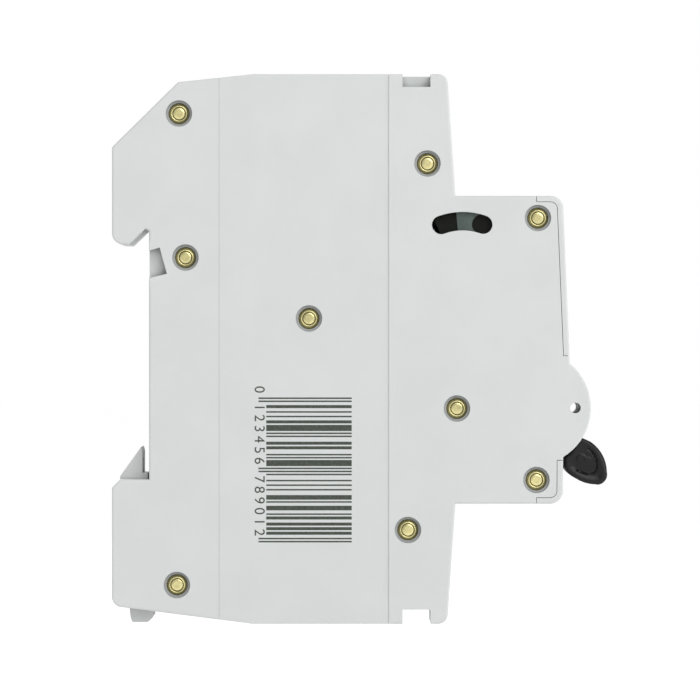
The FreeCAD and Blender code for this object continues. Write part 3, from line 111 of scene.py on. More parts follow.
class BreakerColours(bpy.types.PropertyGroup):
    housing: colour("Housing", "Light grey moulding", "DDE0DF")
    clip: colour("Rail clip", "Slightly darker light grey", "D2D5D3")
    button: colour("Test button", "Mid grey moulding", "8F9496")
    toggle: colour("Toggle", "Black moulding", "0B0D0B")
    dark: colour("Mechanism", "Dark green-black thermoset", "0E110B")
    brass: colour("Rivets", "Rolled brass", "E8DEA2")
    steel: colour("Steel", "Bright drawn steel", "C2C4C6")
    leaf: colour("Leaf", "Blue-grey rolled sheet", "5C6663")
    zinc: colour("Zinc", "Zinc-plated steel", "D3D6D8")
    copper: colour("Copper", "Bare copper", "D98F6A")
    winding: colour("Magnet wire", "Enamelled copper", "B4552C")
    silver: colour("Silver", "Silver contact alloy", "E2E1DC")
    bimetal: colour("Bimetal", "Rolled bimetal strip", "B3ADA2")
    fibre: colour("Fibre", "Vulcanised fibre", "C0B192")
    core: colour("Core", "Strip-wound core", "6A6C70")
    board: colour("Board", "Glass-epoxy laminate", "2F6A3C")
    components: colour("Components", "Black moulded components", "232427")
    bronze: colour("Bronze", "Phosphor bronze spring strip", "C99555")
    ink: colour("Ink", "Dark grey printing ink", "3C423A")
    floor: colour("Floor", "Pale backdrop", "F4F4F4")


def sizes():
    return bpy.context.scene.breaker_sizes


def colours():
    return bpy.context.scene.breaker_colours


# ---- node trees ----
def add_node(tree, kind, inputs=None, **settings):
    """Add one node with its settings, and fill or link its inputs."""
    node = tree.nodes.new(kind)
    for name, value in settings.items():
        setattr(node, name, value)
    for socket, value in (inputs or {}).items():
        if isinstance(value, bpy.types.NodeSocket):
            tree.links.new(value, node.inputs[socket])
        else:
            node.inputs[socket].default_value = value
    return node


def blank_material(name):
    """A material with an empty tree, its tree and its Object coordinates."""
    material = bpy.data.materials.new(name)
    material.use_nodes = True
    tree = material.node_tree
    tree.nodes.clear()
    place = add_node(tree, "ShaderNodeTexCoord").outputs["Object"]
    return material, tree, place


def shade(tree, inputs):
    """The surface shader and the output it goes to."""
    surface = add_node(tree, "ShaderNodeBsdfPrincipled", inputs)
    add_node(tree, "ShaderNodeOutputMaterial", {"Surface": surface.outputs[0]})
    return surface


def tone(value, share):
    """A colour made lighter or darker by a share."""
    return [min(c * share, 1.0) for c in value[:3]] + [1.0]


def painted_recess_shade(tree, clean, dark, size):
    """Painted shade: the clean colour in the open, and the dark one in recesses of about that size,
    where the ambient occlusion finds little open air.
    """
    air = add_node(tree, "ShaderNodeAmbientOcclusion", {"Distance": size})
    share = add_node(tree, "ShaderNodeMapRange", {
        "Value": air.outputs["AO"], "From Min": 0.35, "From Max": 0.9})
    return add_node(tree, "ShaderNodeMix", {
        "Factor": share.outputs["Result"], "A": dark, "B": clean.outputs["Result"]},
        data_type="RGBA")


def moulded(name, value, roughness, grain, depth, cloud=0.02, shine=0.5, dirt=0.0):
    """Moulded plastic: a fine spark-eroded grain and faint clouds where the melt flowed.

    The grain breaks the highlight into a soft sheen, so the surface looks matte and slightly alive.
    With the last argument above zero, recesses of about that size get painted shade and are greyer.
    """
    material, tree, place = blank_material(name)
    fine = add_node(tree, "ShaderNodeTexNoise",
                    {"Vector": place, "Scale": 1 / grain, "Detail": 2.0, "Roughness": 0.6})
    flow = add_node(tree, "ShaderNodeTexNoise",
                    {"Vector": place, "Scale": 1 / (9 * MM), "Detail": 3.0, "Roughness": 0.5})
    shift = add_node(tree, "ShaderNodeMapRange",
                     {"Value": flow.outputs["Fac"], "From Min": 0.3, "From Max": 0.7})
    tint = add_node(tree, "ShaderNodeMix", {
        "Factor": shift.outputs["Result"], "A": tone(value, 1 - cloud),
        "B": tone(value, 1 + cloud)}, data_type="RGBA")
    # painted shade: recesses that the ambient occlusion finds are greyer
    if dirt:
        tint = painted_recess_shade(tree, tint, tone(value, 0.55), dirt)
    gloss = add_node(tree, "ShaderNodeMapRange", {
        "Value": fine.outputs["Fac"], "From Min": 0.25, "From Max": 0.75,
        "To Min": roughness - 0.05, "To Max": roughness + 0.05})
    bump = add_node(tree, "ShaderNodeBump",
                    {"Strength": 1.0, "Distance": depth, "Height": fine.outputs["Fac"]})
    shade(tree, {"Base Color": tint.outputs["Result"], "Roughness": gloss.outputs["Result"],
                 "Normal": bump.outputs["Normal"], "Specular IOR Level": shine})
    return material


def worked_metal(name, value, roughness, line, stretch, depth, tarnish=0.12, dirt=0.0):
    """Drawn, rolled or turned metal: fine lines along one direction and a thin uneven tarnish.

    With the last argument above zero, recesses of about that size get painted shade and are darker.
    """
    material, tree, place = blank_material(name)
    along = add_node(tree, "ShaderNodeMapping", {"Vector": place, "Scale": stretch})
    lines = add_node(tree, "ShaderNodeTexNoise",
                     {"Vector": along.outputs["Vector"], "Scale": 1 / line, "Detail": 3.0})
    blotch = add_node(tree, "ShaderNodeTexNoise",
                      {"Vector": place, "Scale": 1 / (2.2 * MM), "Detail": 4.0})
    shift = add_node(tree, "ShaderNodeMapRange",
                     {"Value": blotch.outputs["Fac"], "From Min": 0.35, "From Max": 0.65})
    tint = add_node(tree, "ShaderNodeMix", {
        "Factor": shift.outputs["Result"], "A": tone(value, 1 - tarnish),
        "B": tone(value, 1 + tarnish / 2)}, data_type="RGBA")
    # painted shade: recesses that the ambient occlusion finds are darker
    if dirt:
        tint = painted_recess_shade(tree, tint, tone(value, 0.2), dirt)
    gloss = add_node(tree, "ShaderNodeMapRange", {
        "Value": lines.outputs["Fac"], "From Min": 0.3, "From Max": 0.7,
        "To Min": roughness - 0.06, "To Max": roughness + 0.08})
    bump = add_node(tree, "ShaderNodeBump",
                    {"Strength": 1.0, "Distance": depth, "Height": lines.outputs["Fac"]})
    shade(tree, {"Base Color": tint.outputs["Result"], "Metallic": 1.0,
                 "Roughness": gloss.outputs["Result"], "Normal": bump.outputs["Normal"]})
    return material


def wound_wire(name, value, pitch, axis_scale):
    """Enamelled wire: bright varnish over copper, with a ridge for each turn, a painted highlight
    along each turn and painted shade between them.
    """
    material, tree, place = blank_material(name)
    along = add_node(tree, "ShaderNodeMapping", {"Vector": place, "Scale": axis_scale})
    turns = add_node(tree, "ShaderNodeTexWave",
                     {"Vector": along.outputs["Vector"], "Scale": 1 / (pitch * math.tau),
                      "Distortion": 0.4, "Detail": 1.0},
                     wave_type="BANDS", bands_direction="DIAGONAL", wave_profile="SIN")
    # painted highlight on each turn and painted shade between turns
    tint = add_node(tree, "ShaderNodeMix", {
        "Factor": turns.outputs["Fac"], "A": tone(value, 0.45), "B": tone(value, 1.1)},
        data_type="RGBA")
    bump = add_node(tree, "ShaderNodeBump",
                    {"Strength": 1.0, "Distance": 0.06 * MM, "Height": turns.outputs["Fac"]})
    shade(tree, {"Base Color": tint.outputs["Result"], "Metallic": 0.6, "Roughness": 0.28,
                 "Normal": bump.outputs["Normal"], "Coat Weight": 0.6, "Coat Roughness": 0.1})
    return material


def printed_ink(name, value):
    """Pad-printed ink: flat, a little broken where the grain below it stayed bare."""
    material, tree, place = blank_material(name)
    speck = add_node(tree, "ShaderNodeTexNoise",
                     {"Vector": place, "Scale": 1 / (0.3 * MM), "Detail": 2.0})
    shift = add_node(tree, "ShaderNodeMapRange",
                     {"Value": speck.outputs["Fac"], "From Min": 0.35, "From Max": 0.8})
    tint = add_node(tree, "ShaderNodeMix", {
        "Factor": shift.outputs["Result"], "A": value, "B": tone(value, 2.0)}, data_type="RGBA")
    shade(tree, {"Base Color": tint.outputs["Result"], "Roughness": 0.5, "IOR": 1.45})
    return material


def laminate(name, value):
    """Glass-epoxy board under solder mask: glossy, with the cloth's weave just showing."""
    material, tree, place = blank_material(name)
    weave = add_node(tree, "ShaderNodeTexWave",
                     {"Vector": place, "Scale": 1 / (0.5 * MM * math.tau)}, bands_direction="Y")
    cross = add_node(tree, "ShaderNodeTexWave",
                     {"Vector": place, "Scale": 1 / (0.5 * MM * math.tau)}, bands_direction="Z")
    both = add_node(tree, "ShaderNodeMath",
                    {0: weave.outputs["Fac"], 1: cross.outputs["Fac"]}, operation="MULTIPLY")
    tint = add_node(tree, "ShaderNodeMix", {
        "Factor": both.outputs["Value"], "A": tone(value, 0.85), "B": tone(value, 1.15)},
        data_type="RGBA")
    shade(tree, {"Base Color": tint.outputs["Result"], "Roughness": 0.3, "Coat Weight": 0.4})
    return material


def dress(material, *names):
    """Give CAD nodes a material."""
    for name in names:
        mesh = NODES[name].data
        if not mesh.materials:
            mesh.materials.append(material)
        for i in range(len(mesh.materials)):
            mesh.materials[i] = material


def finish_piece(name, mesh, material, body, smooth_angle=35):
    """Link a mesh as a piece at the origin that rides on a body."""
    mesh.name = name
    mesh.materials.clear()
    mesh.materials.append(material)
    piece = bpy.data.objects.new(name, mesh)
    bpy.context.scene.collection.objects.link(piece)
    mesh.shade_smooth()
    mesh.set_sharp_from_angle(angle=math.radians(smooth_angle))
    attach(piece, body)
    return piece


def closed(mesh, merge=1e-7):
    """Merge doubles and turn the faces of a closed mesh outwards."""
    work = bmesh.new()
    work.from_mesh(mesh)
    bmesh.ops.remove_doubles(work, verts=work.verts, dist=merge)
    bmesh.ops.dissolve_degenerate(work, edges=work.edges, dist=merge)
    bmesh.ops.recalc_face_normals(work, faces=work.faces)
    work.to_mesh(mesh)
    work.free()
    return mesh


def new_tree(name, sockets):
    """A geometry tree with a Geometry input, named inputs and a Geometry output."""
    tree = bpy.data.node_groups.new(name, "GeometryNodeTree")
    tree.interface.new_socket("Geometry", in_out="INPUT", socket_type="NodeSocketGeometry")
    for label, kind in sockets:
        tree.interface.new_socket(label, in_out="INPUT", socket_type=kind)
    tree.interface.new_socket("Geometry", in_out="OUTPUT", socket_type="NodeSocketGeometry")
    return tree, add_node(tree, "NodeGroupInput").outputs


def grow(tree, base, values):
    """Run a tree on a base mesh and return the result as a plain mesh."""
    helper = bpy.data.objects.new("helper", base)
    modifier = helper.modifiers.new("grow", "NODES")
    modifier.node_group = tree
    for item in tree.interface.items_tree:
        if item.in_out == "INPUT" and item.name in values:
            modifier[item.identifier] = values[item.name]
    bpy.context.scene.collection.objects.link(helper)
    graph = bpy.context.evaluated_depsgraph_get()
    mesh = bpy.data.meshes.new_from_object(helper.evaluated_get(graph), depsgraph=graph)
    helper.modifiers.remove(modifier)
    bpy.data.objects.remove(helper)
    return mesh


# ---- housing ----
class BREAKER_OT_housing(bpy.types.Operator):
    """Finish the covers, middle frame, fascia, rail clip and test button"""
    bl_idname = "breaker.housing"
    bl_label = "Housing"

    def execute(self, context):
        # Glass-filled polyamide, spark-eroded mould: a pale, even, matte grey, with painted shade
        # greying its recesses.
        shell = moulded("polyamide_light_grey", colours().housing, 0.52, 0.28 * MM, 0.006 * MM,
                        dirt=1.2 * MM)
        dress(shell, "left_cover", "right_cover", "middle_frame", "front_fascia")
        # Acetal: a smoother mould, so the clip has a little more sheen than the covers.
        dress(moulded("acetal_light_grey", colours().clip, 0.42, 0.4 * MM, 0.004 * MM), "rail_clip")
        # Mid grey polyamide: dull, with the fine even grain of a spark-eroded mould.
        dress(moulded("polyamide_mid_grey", colours().button, 0.45, 0.3 * MM, 0.004 * MM),
              "test_button")
        return {"FINISHED"}


# ---- rivets ----
RIVET_REACH = 3.2 * MM       # points nearer than this to each other belong to one rivet
LATHE_RADIUS = 1 * MM        # circle that the half section is swept round
LATHE_STEPS = 48


def rivet_places():
    """The rivets' axes, as (y, z) of each separate rivet in the CAD node."""
    places = []
    for vertex in NODES["housing_rivets"].data.vertices:
        y, z = vertex.co.y, vertex.co.z
        near = [group for group in places if math.hypot(group[0] - y, group[1] - z) < RIVET_REACH]
        if near:
            group = near[0]
            group[2] = min(group[2], y)
            group[3] = max(group[3], y)
            group[4] = min(group[4], z)
            group[5] = max(group[5], z)
        else:
            places.append([y, z, y, y, z, z])
    return [((low_y + high_y) / 2, (low_z + high_z) / 2)
            for _, _, low_y, high_y, low_z, high_z in places]


def rivet_profile(end):
    """Half section of a rivet as (x, radius), from the middle of one end to the other's."""
    s = sizes()
    face = end - s.roll_radius
    bottom = face - s.hollow_depth
    edge = 0.05 * MM
    half = [(face - 0.02 * MM, 0.0), (face, s.disc_radius * 0.5), (face, s.disc_radius - edge),
            (face - 0.3 * edge, s.disc_radius - 0.3 * edge), (face - edge, s.disc_radius),
            (bottom, s.disc_radius), (bottom, s.ring_radius - s.roll_radius)]
    for step in range(13):
        turn = math.radians(180 - 15 * step)
        half.append((face + s.roll_radius * math.sin(turn),
                     s.ring_radius + s.roll_radius * math.cos(turn)))
    half += [(face - s.flange_height + edge, s.flange_radius),
             (face - s.flange_height, s.flange_radius),
             (face - s.flange_height, s.shank_radius)]
    return [(-x, r) for x, r in half] + [(x, r) for x, r in reversed(half)]


def rivet_tree():
    """Turns the rivet's half section round its axis and sets one on each point."""
    tree, given = new_tree("rivets", [("Section", "NodeSocketObject"),
                                      ("Reference Radius", "NodeSocketFloat"),
                                      ("Steps", "NodeSocketInt"),
                                      ("Material", "NodeSocketMaterial")])
    section = add_node(tree, "GeometryNodeObjectInfo", {"Object": given["Section"]})
    curve = add_node(tree, "GeometryNodeMeshToCurve", {"Mesh": section.outputs["Geometry"]})
    circle = add_node(tree, "GeometryNodeCurvePrimitiveCircle",
                      {"Resolution": given["Steps"], "Radius": given["Reference Radius"]})
    lathe = add_node(tree, "GeometryNodeCurveToMesh", {
        "Curve": circle.outputs["Curve"], "Profile Curve": curve.outputs["Curve"]})
    whole = add_node(tree, "GeometryNodeMergeByDistance",
                     {"Geometry": lathe.outputs["Mesh"], "Distance": 1e-6})
    many = add_node(tree, "GeometryNodeInstanceOnPoints", {
        "Points": given["Geometry"], "Instance": whole.outputs["Geometry"],
        "Rotation": (0.0, math.pi / 2, 0.0)})
    real = add_node(tree, "GeometryNodeRealizeInstances", {0: many.outputs[0]})
    done = add_node(tree, "GeometryNodeSetMaterial",
                    {"Geometry": real.outputs[0], "Material": given["Material"]})
    add_node(tree, "NodeGroupOutput", {"Geometry": done.outputs[0]})
    return tree


class BREAKER_OT_rivets(bpy.types.Operator):
    """Turn the rivets with their sloping flange, rolled ring and flat middle"""
    bl_idname = "breaker.rivets"
    bl_label = "Rivets"

    def execute(self, context):
        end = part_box("housing_rivets")[1].x
        # Soft rolled brass: warm and bright on the rolled ring, duller on the flat flange, with
        # painted shade in the groove and on the flange where the counterbore hems them in.
        brass = worked_metal("rolled_brass", colours().brass, 0.26, 0.12 * MM, (1, 1, 1),
                             0.003 * MM, tarnish=0.2, dirt=0.8 * MM)
        points = [(r - LATHE_RADIUS, -x, 0) for x, r in rivet_profile(end)]
        section = bpy.data.meshes.new("section")
        section.from_pydata(points, [(i, i + 1) for i in range(len(points) - 1)], [])
        half = bpy.data.objects.new("section", section)
        context.scene.collection.objects.link(half)
        places = bpy.data.meshes.new("places")
        places.from_pydata([(0, y, z) for y, z in rivet_places()], [], [])
        mesh = grow(rivet_tree(), places, {
            "Section": half, "Reference Radius": LATHE_RADIUS, "Steps": LATHE_STEPS,
            "Material": brass})
        bpy.data.objects.remove(half)
        rivets = finish_piece("rivets", closed(mesh), brass, "housing")
        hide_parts("housing_rivets")
        return {"FINISHED"}


# ---- print ----
PLACEHOLDER_NUMBER = "0123456789012"
BAND_DEPTH = 0.12 * MM       # the cover's middle band lies this much lower than its side
FIRST_DIGIT = -5.2           # place of the first digit, in modules from the first bar
CAPITAL_SHARE = 0.72         # height of a digit in the built-in font, as a share of its size
GUARDS = [*range(3), *range(45, 50), *range(92, 95)]
# Seven modules for each digit from 0 to 9, in the first half of the code.
LEFT_CODES = ["0001101", "0011001", "0010011", "0111101", "0100011",
              "0110001", "0101111", "0111011", "0110111", "0001011"]


def bar_pattern():
    """The modules of a retail bar code for the placeholder number, 1 where a bar is."""
    left = "".join(LEFT_CODES[int(d)] for d in PLACEHOLDER_NUMBER[1:7])
    right = "".join(LEFT_CODES[int(d)] for d in PLACEHOLDER_NUMBER[7:])
    right = right.replace("0", "x").replace("1", "0").replace("x", "1")
    return "101" + left + "01010" + right + "101"


def bar_runs():
    """Each bar as (first module, modules wide, whether it is a guard bar)."""
    pattern = bar_pattern()
    runs = []
    i = 0
    while i < len(pattern):
        wide = 0
        while i + wide < len(pattern) and pattern[i + wide] == "1":
            wide += 1
        if wide:
            runs.append((i, wide, i in GUARDS))
        i += max(wide, 1)
    return runs


def bar_tree():
    """Sets one printed bar on each point, as wide and long as the point says."""
    tree, given = new_tree("printed_bars", [("Ink Thickness", "NodeSocketFloat"),
                                            ("Module", "NodeSocketFloat"),
                                            ("Material", "NodeSocketMaterial")])
    wide = add_node(tree, "GeometryNodeInputNamedAttribute", {"Name": "modules"})
    long = add_node(tree, "GeometryNodeInputNamedAttribute", {"Name": "bar_length"})
    size = add_node(tree, "ShaderNodeMath", {0: wide.outputs["Attribute"], 1: given["Module"]},
                    operation="MULTIPLY")
    scale = add_node(tree, "ShaderNodeCombineXYZ", {
        "X": given["Ink Thickness"], "Y": long.outputs["Attribute"], "Z": size.outputs["Value"]})
    bar = add_node(tree, "GeometryNodeMeshCube", {"Size": (1.0, 1.0, 1.0)})
    many = add_node(tree, "GeometryNodeInstanceOnPoints", {
        "Points": given["Geometry"], "Instance": bar.outputs["Mesh"],
        "Scale": scale.outputs["Vector"]})
    real = add_node(tree, "GeometryNodeRealizeInstances", {0: many.outputs[0]})
    done = add_node(tree, "GeometryNodeSetMaterial",
                    {"Geometry": real.outputs[0], "Material": given["Material"]})
    add_node(tree, "NodeGroupOutput", {"Geometry": done.outputs[0]})
    return tree


def side_face():
    """X of the left cover's middle band, which the print lies on."""
    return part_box("left_cover")[0].x + BAND_DEPTH


def digit_mesh(character, height, thick):
    """One printed digit as a closed mesh, on its foot line and centred on its width."""
    text = bpy.data.curves.new("digit", "FONT")
    text.body = character
    text.size = height / CAPITAL_SHARE
    text.align_x = "CENTER"
    text.extrude = thick / 2
    helper = bpy.data.objects.new("digit", text)
    bpy.context.scene.collection.objects.link(helper)
    graph = bpy.context.evaluated_depsgraph_get()
    mesh = bpy.data.meshes.new_from_object(helper.evaluated_get(graph), depsgraph=graph)
    bpy.data.objects.remove(helper)
    return mesh


class BREAKER_OT_print(bpy.types.Operator):
    """Print a placeholder bar code and its digits on the left cover"""
    bl_idname = "breaker.print"
    bl_label = "Print"

    def execute(self, context):
        s = sizes()
        # Dark grey ink, flat and thin: it lies on the moulding and shows a little of its grain.
        ink = printed_ink("pad_printed_ink", colours().ink)
        face = side_face() - s.ink / 2
        runs = bar_runs()
        starts = []
        lengths = []
        for first, wide, guard in runs:
            long = s.bar_length + (s.guard_extra if guard else 0.0)
            near = s.bar_start if guard else s.bar_start + s.guard_extra
            middle = -s.bars_top - (first + wide / 2) * s.bar_module
            starts.append((face, -near - long / 2, middle))
            lengths.append(long)
        points = bpy.data.meshes.new("bars")
        points.from_pydata(starts, [], [])
        points.attributes.new("modules", "FLOAT", "POINT").data.foreach_set(
            "value", [float(wide) for _, wide, _ in runs])
        points.attributes.new("bar_length", "FLOAT", "POINT").data.foreach_set("value", lengths)
        mesh = grow(bar_tree(), points, {
            "Ink Thickness": s.ink, "Module": s.bar_module, "Material": ink})
        finish_piece("bar_code_bars", closed(mesh), ink, "housing")

        # each digit stands beside its seven modules, and the first one ahead of the bars
        turn = Matrix(((0, 0, -1), (0, -1, 0), (-1, 0, 0))).to_4x4()
        work = bmesh.new()
        for i, character in enumerate(PLACEHOLDER_NUMBER):
            module = FIRST_DIGIT if i == 0 else 3 + 7 * (i - 0.5) + (5 if i > 6 else 0)
            place = Vector((face, -s.digit_gap, -s.bars_top - module * s.bar_module))
            digit = digit_mesh(character, s.digit_height, s.ink)
            digit.transform(Matrix.Translation(place) @ turn)
            work.from_mesh(digit)
        digits = bpy.data.meshes.new("digits")
        work.to_mesh(digits)
        work.free()
        finish_piece("bar_code_digits", closed(digits), ink, "housing")
        return {"FINISHED"}


# ---- toggle ----
# The grip's outline and its curved groove in side view, in millimetres from the toggle's
# lowest, foremost corner towards +Y and +Z.
GRIP_OUTLINE = [(6.44, 4.02), (5.75, 4.62), (5.1, 5.35), (4.55, 6.1), (4.1, 6.85), (3.64, 6.92),
                (2.95, 6.62), (2.3, 6.22), (1.75, 5.72), (1.3, 5.15), (0.93, 4.5), (0.62, 3.8),
                (0.38, 3.1), (0.2, 2.4), (0.08, 1.75), (0.07, 1.2), (0.28, 0.7), (0.65, 0.33),
                (1.15, 0.1), (1.75, 0.06), (2.5, 0.12), (3.3, 0.3), (4.1, 0.62), (4.9, 1.08),
                (5.6, 1.62), (6.2, 2.25), (6.38, 3.1)]
GRIP_GROOVE = [(2.9, 5.35), (2.3, 4.95), (1.85, 4.35), (1.6, 3.6), (1.52, 2.9), (1.62, 2.3),
               (1.95, 1.85), (2.45, 1.62), (3.1, 1.66), (3.8, 1.86), (4.5, 2.2)]
GRIP_MIDDLE = (3.3, 3.3)
# Faint ends of the moulded pins, as (y, z, radius, height), and the width of their edges.
GRIP_PINS = [(3.82, 3.82, 0.8, 0.1), (2.85, 3.6, 0.56, 0.05)]
PIN_EDGE = 0.12
# The crown rises over the first distance from the edge, and falls again by a share of itself
# between the other two.
CROWN_RUN = 0.32
DISH_FROM = 0.5
DISH_TO = 1.35
DISH_SHARE = 0.75
GROOVE_HALF = 0.24
POINT_SPACING = 0.16
RELIEF_RINGS = 26
RELIEF_BACK = 0.2            # the relief's back lies this far inside the toggle


def dense(outline, spacing):
    """The closed outline with points added, so that they are about spacing apart."""
    points = []
    for a, b in zip(outline, outline[1:] + outline[:1]):
        count = max(1, round(math.dist(a, b) / spacing))
        points += [(a[0] + (b[0] - a[0]) * i / count, a[1] + (b[1] - a[1]) * i / count)
                   for i in range(count)]
    return points


def smooth_step(low, high, value):
    """0 below low, 1 above high, and a smooth rise between them."""
    t = min(max((value - low) / (high - low), 0.0), 1.0)
    return t * t * (3 - 2 * t)


def segment_distance(point, a, b):
    """Distance from a point to the stretch between a and b."""
    ab = (b[0] - a[0], b[1] - a[1])
    ap = (point[0] - a[0], point[1] - a[1])
    t = min(max((ap[0] * ab[0] + ap[1] * ab[1]) / (ab[0] ** 2 + ab[1] ** 2), 0.0), 1.0)
    return math.hypot(ap[0] - t * ab[0], ap[1] - t * ab[1])


def path_distance(point, path):
    """Distance from a point to the nearest stretch of a path."""
    return min(segment_distance(point, a, b) for a, b in zip(path, path[1:]))


def grip_height(point, outline):
    """Height of the grip's side in millimetres: a crowned rim, a groove and faint pin ends."""
    rise = sizes().grip_rise / MM
    depth = sizes().groove_depth / MM
    edge = path_distance(point, outline + outline[:1])
    height = rise * smooth_step(0.0, CROWN_RUN, edge)
    height -= rise * DISH_SHARE * smooth_step(DISH_FROM, DISH_TO, edge)
    height -= depth * (1 - smooth_step(0.0, GROOVE_HALF, path_distance(point, GRIP_GROOVE)))
    for y, z, radius, pin_height in GRIP_PINS:
        away = math.dist(point, (y, z))
        height += pin_height * (1 - smooth_step(radius - PIN_EDGE, radius, away))
    return height


def grip_relief(name, face, side):
    """A closed thin mesh on one side of the grip, from rings of points towards its middle."""
    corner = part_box("toggle")[0]
    outline = dense(GRIP_OUTLINE, POINT_SPACING)
    count = len(outline)

    def at(point, height):
        return (face + side * height * MM, corner.y + point[0] * MM, corner.z + point[1] * MM)

    vertices = []
    faces = []
    for ring in range(RELIEF_RINGS):
        share = 1 - ring / RELIEF_RINGS
        for point in outline:
            flat = [GRIP_MIDDLE[k] + (point[k] - GRIP_MIDDLE[k]) * share for k in (0, 1)]
            vertices.append(at(flat, grip_height(flat, outline)))
    middle = len(vertices)
    vertices.append(at(GRIP_MIDDLE, grip_height(GRIP_MIDDLE, outline)))
    back = len(vertices)
    vertices += [at(point, -RELIEF_BACK) for point in outline]
    under = len(vertices)
    vertices.append(at(GRIP_MIDDLE, -RELIEF_BACK))
    inner = (RELIEF_RINGS - 1) * count
    for ring in range(0, inner, count):
        for i in range(count):
            j = (i + 1) % count
            faces.append((ring + i, ring + j, ring + count + j, ring + count + i))
    for i in range(count):
        j = (i + 1) % count
        faces.append((inner + i, inner + j, middle))
        faces.append((i, back + i, back + j, j))
        faces.append((back + i, under, back + j))
    mesh = bpy.data.meshes.new(name)
    mesh.from_pydata(vertices, [], faces)
    return closed(mesh)


class BREAKER_OT_toggle(bpy.types.Operator):
    """Finish the toggle and crown the sides of its grip"""
    bl_idname = "breaker.toggle"
    bl_label = "Toggle"

    def execute(self, context):
        # Black polyamide, polished mould: satin, with a thin line of light along its edges.
        black = moulded("polyamide_black_satin", colours().toggle, 0.36, 0.35 * MM, 0.003 * MM,
                        shine=0.35)
        dress(black, "toggle")
        low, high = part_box("toggle")
        for name, face, side in (("grip_side_left", low.x, -1), ("grip_side_right", high.x, 1)):
            piece = finish_piece(name, grip_relief(name, face, side), black, "toggle",
                                 smooth_angle=50)
        return {"FINISHED"}


# ---- inside ----
class BREAKER_OT_mechanism(bpy.types.Operator):
    """Finish the contact mechanism, trip lever, pins and springs"""
    bl_idname = "breaker.mechanism"
    bl_label = "Mechanism"

    def execute(self, context):
        c = colours()
        # Thermoset: pressed hot, so it is hard, dark and almost without sheen.
        dress(moulded("thermoset_dark", c.dark, 0.6, 0.3 * MM, 0.004 * MM, shine=0.2),
              "contact_carrier", "trip_lever", "trip_lever_pin", "coil_bobbin")
        # Cold-rolled strip with a blued skin: grey with a cool cast.
        dress(worked_metal("rolled_strip_blued", c.leaf, 0.42, 0.15 * MM, (1, 6, 1), 0.002 * MM),
              "trip_lever_leaf")
        # Drawn steel wire and rod: bright, with fine lines along the pins.
        dress(worked_metal("drawn_steel", c.steel, 0.28, 0.1 * MM, (0.2, 1, 1), 0.002 * MM, 0.06),
              "toggle_pin", "carrier_pin", "toggle_link", "toggle_spring", "contact_spring",
              "plunger_spring", "clip_spring", "test_spring", "coil_plunger", "coil_yoke",
              "residual_trip_plunger", "calibration_screw", "bimetal_bracket", "arc_chute_plates",
              "arc_runner", "residual_trip_coil")
        # Sintered silver alloy: pale, faintly grainy.
        dress(worked_metal("sintered_silver", c.silver, 0.34, 0.1 * MM, (1, 1, 1), 0.003 * MM),
              "moving_contact_buttons", "fixed_contact_buttons")
        # Two strips rolled together: a warm grey with lines along its length.
        dress(worked_metal("rolled_bimetal", c.bimetal, 0.36, 0.15 * MM, (1, 0.2, 1), 0.002 * MM),
              "bimetal_strip")
        # Vulcanised fibre: a dry tan card.
        dress(moulded("vulcanised_fibre", c.fibre, 0.75, 0.2 * MM, 0.01 * MM, cloud=0.06),
              "arc_chute_cards")
        return {"FINISHED"}


class BREAKER_OT_conductors(bpy.types.Operator):
    """Finish the copper parts and the windings"""
    bl_idname = "breaker.conductors"
    bl_label = "Conductors"

    def execute(self, context):
        c = colours()
        # Stamped copper strip: warm, with faint roll lines and finger-dull patches.
        dress(worked_metal("stamped_copper", c.copper, 0.34, 0.14 * MM, (1, 1, 0.25), 0.003 * MM),
              "line_contact_arm", "neutral_contact_arm", "line_fixed_contact",
              "neutral_fixed_contact", "line_inlet_bar", "line_outlet_bar", "neutral_inlet_bar",
              "neutral_outlet_bar", "line_lead", "neutral_lead")
        # Enamelled wire laid side by side: red-brown varnish with a painted highlight on every turn
        # and painted shade between turns.
        dress(wound_wire("magnet_wire", c.winding, 0.5 * MM, (1, 1, 1)),
              "coil_winding", "transformer_winding")
        return {"FINISHED"}


class BREAKER_OT_terminals(bpy.types.Operator):
    """Finish the terminal screws and cages"""
    bl_idname = "breaker.terminals"
    bl_label = "Terminals"

    def execute(self, context):
        # Zinc plating with a clear passivation: bright, cool, slightly cloudy.
        zinc = worked_metal("zinc_plated_steel", colours().zinc, 0.3, 0.2 * MM, (1, 1, 1),
                            0.003 * MM, 0.08)
        for pole in ("line", "neutral"):
            for end in ("top", "bottom"):
                dress(zinc, f"terminal_screw_{pole}_{end}", f"terminal_cage_{pole}_{end}")
        return {"FINISHED"}


class BREAKER_OT_residual_side(bpy.types.Operator):
    """Finish the residual-current sensor, its board and the test contact"""
    bl_idname = "breaker.residual_side"
    bl_label = "Residual-current side"

    def execute(self, context):
        c = colours()
        # Strip-wound core: dark grey metal with a fine line for each wrap.
        dress(worked_metal("strip_wound_core", c.core, 0.4, 0.12 * MM, (1, 1, 0.2), 0.004 * MM),
              "transformer_core")
        # Glass-epoxy under solder mask: glossy, with the weave of its cloth just showing.
        dress(laminate("glass_epoxy", c.board), "circuit_board")
        # Moulded epoxy packages: near black, evenly satin.
        dress(moulded("component_epoxy", c.components, 0.4, 0.25 * MM, 0.003 * MM),
              "board_components")
        # Phosphor bronze: a warm spring strip with roll lines.
        dress(worked_metal("phosphor_bronze", c.bronze, 0.3, 0.14 * MM, (1, 0.2, 1), 0.002 * MM),
              "test_contact")
        return {"FINISHED"}


# ---- stage ----
GLOW_SHARE = 0.7             # share of the floor's own light where the camera sees it
GLOW = 1.22                  # and its strength, so that the floor reads as white
ROOM = 0.53                  # brightness of the room on the object
LAMP_SIZE = 0.6
FLOOR_REACH = 6.0
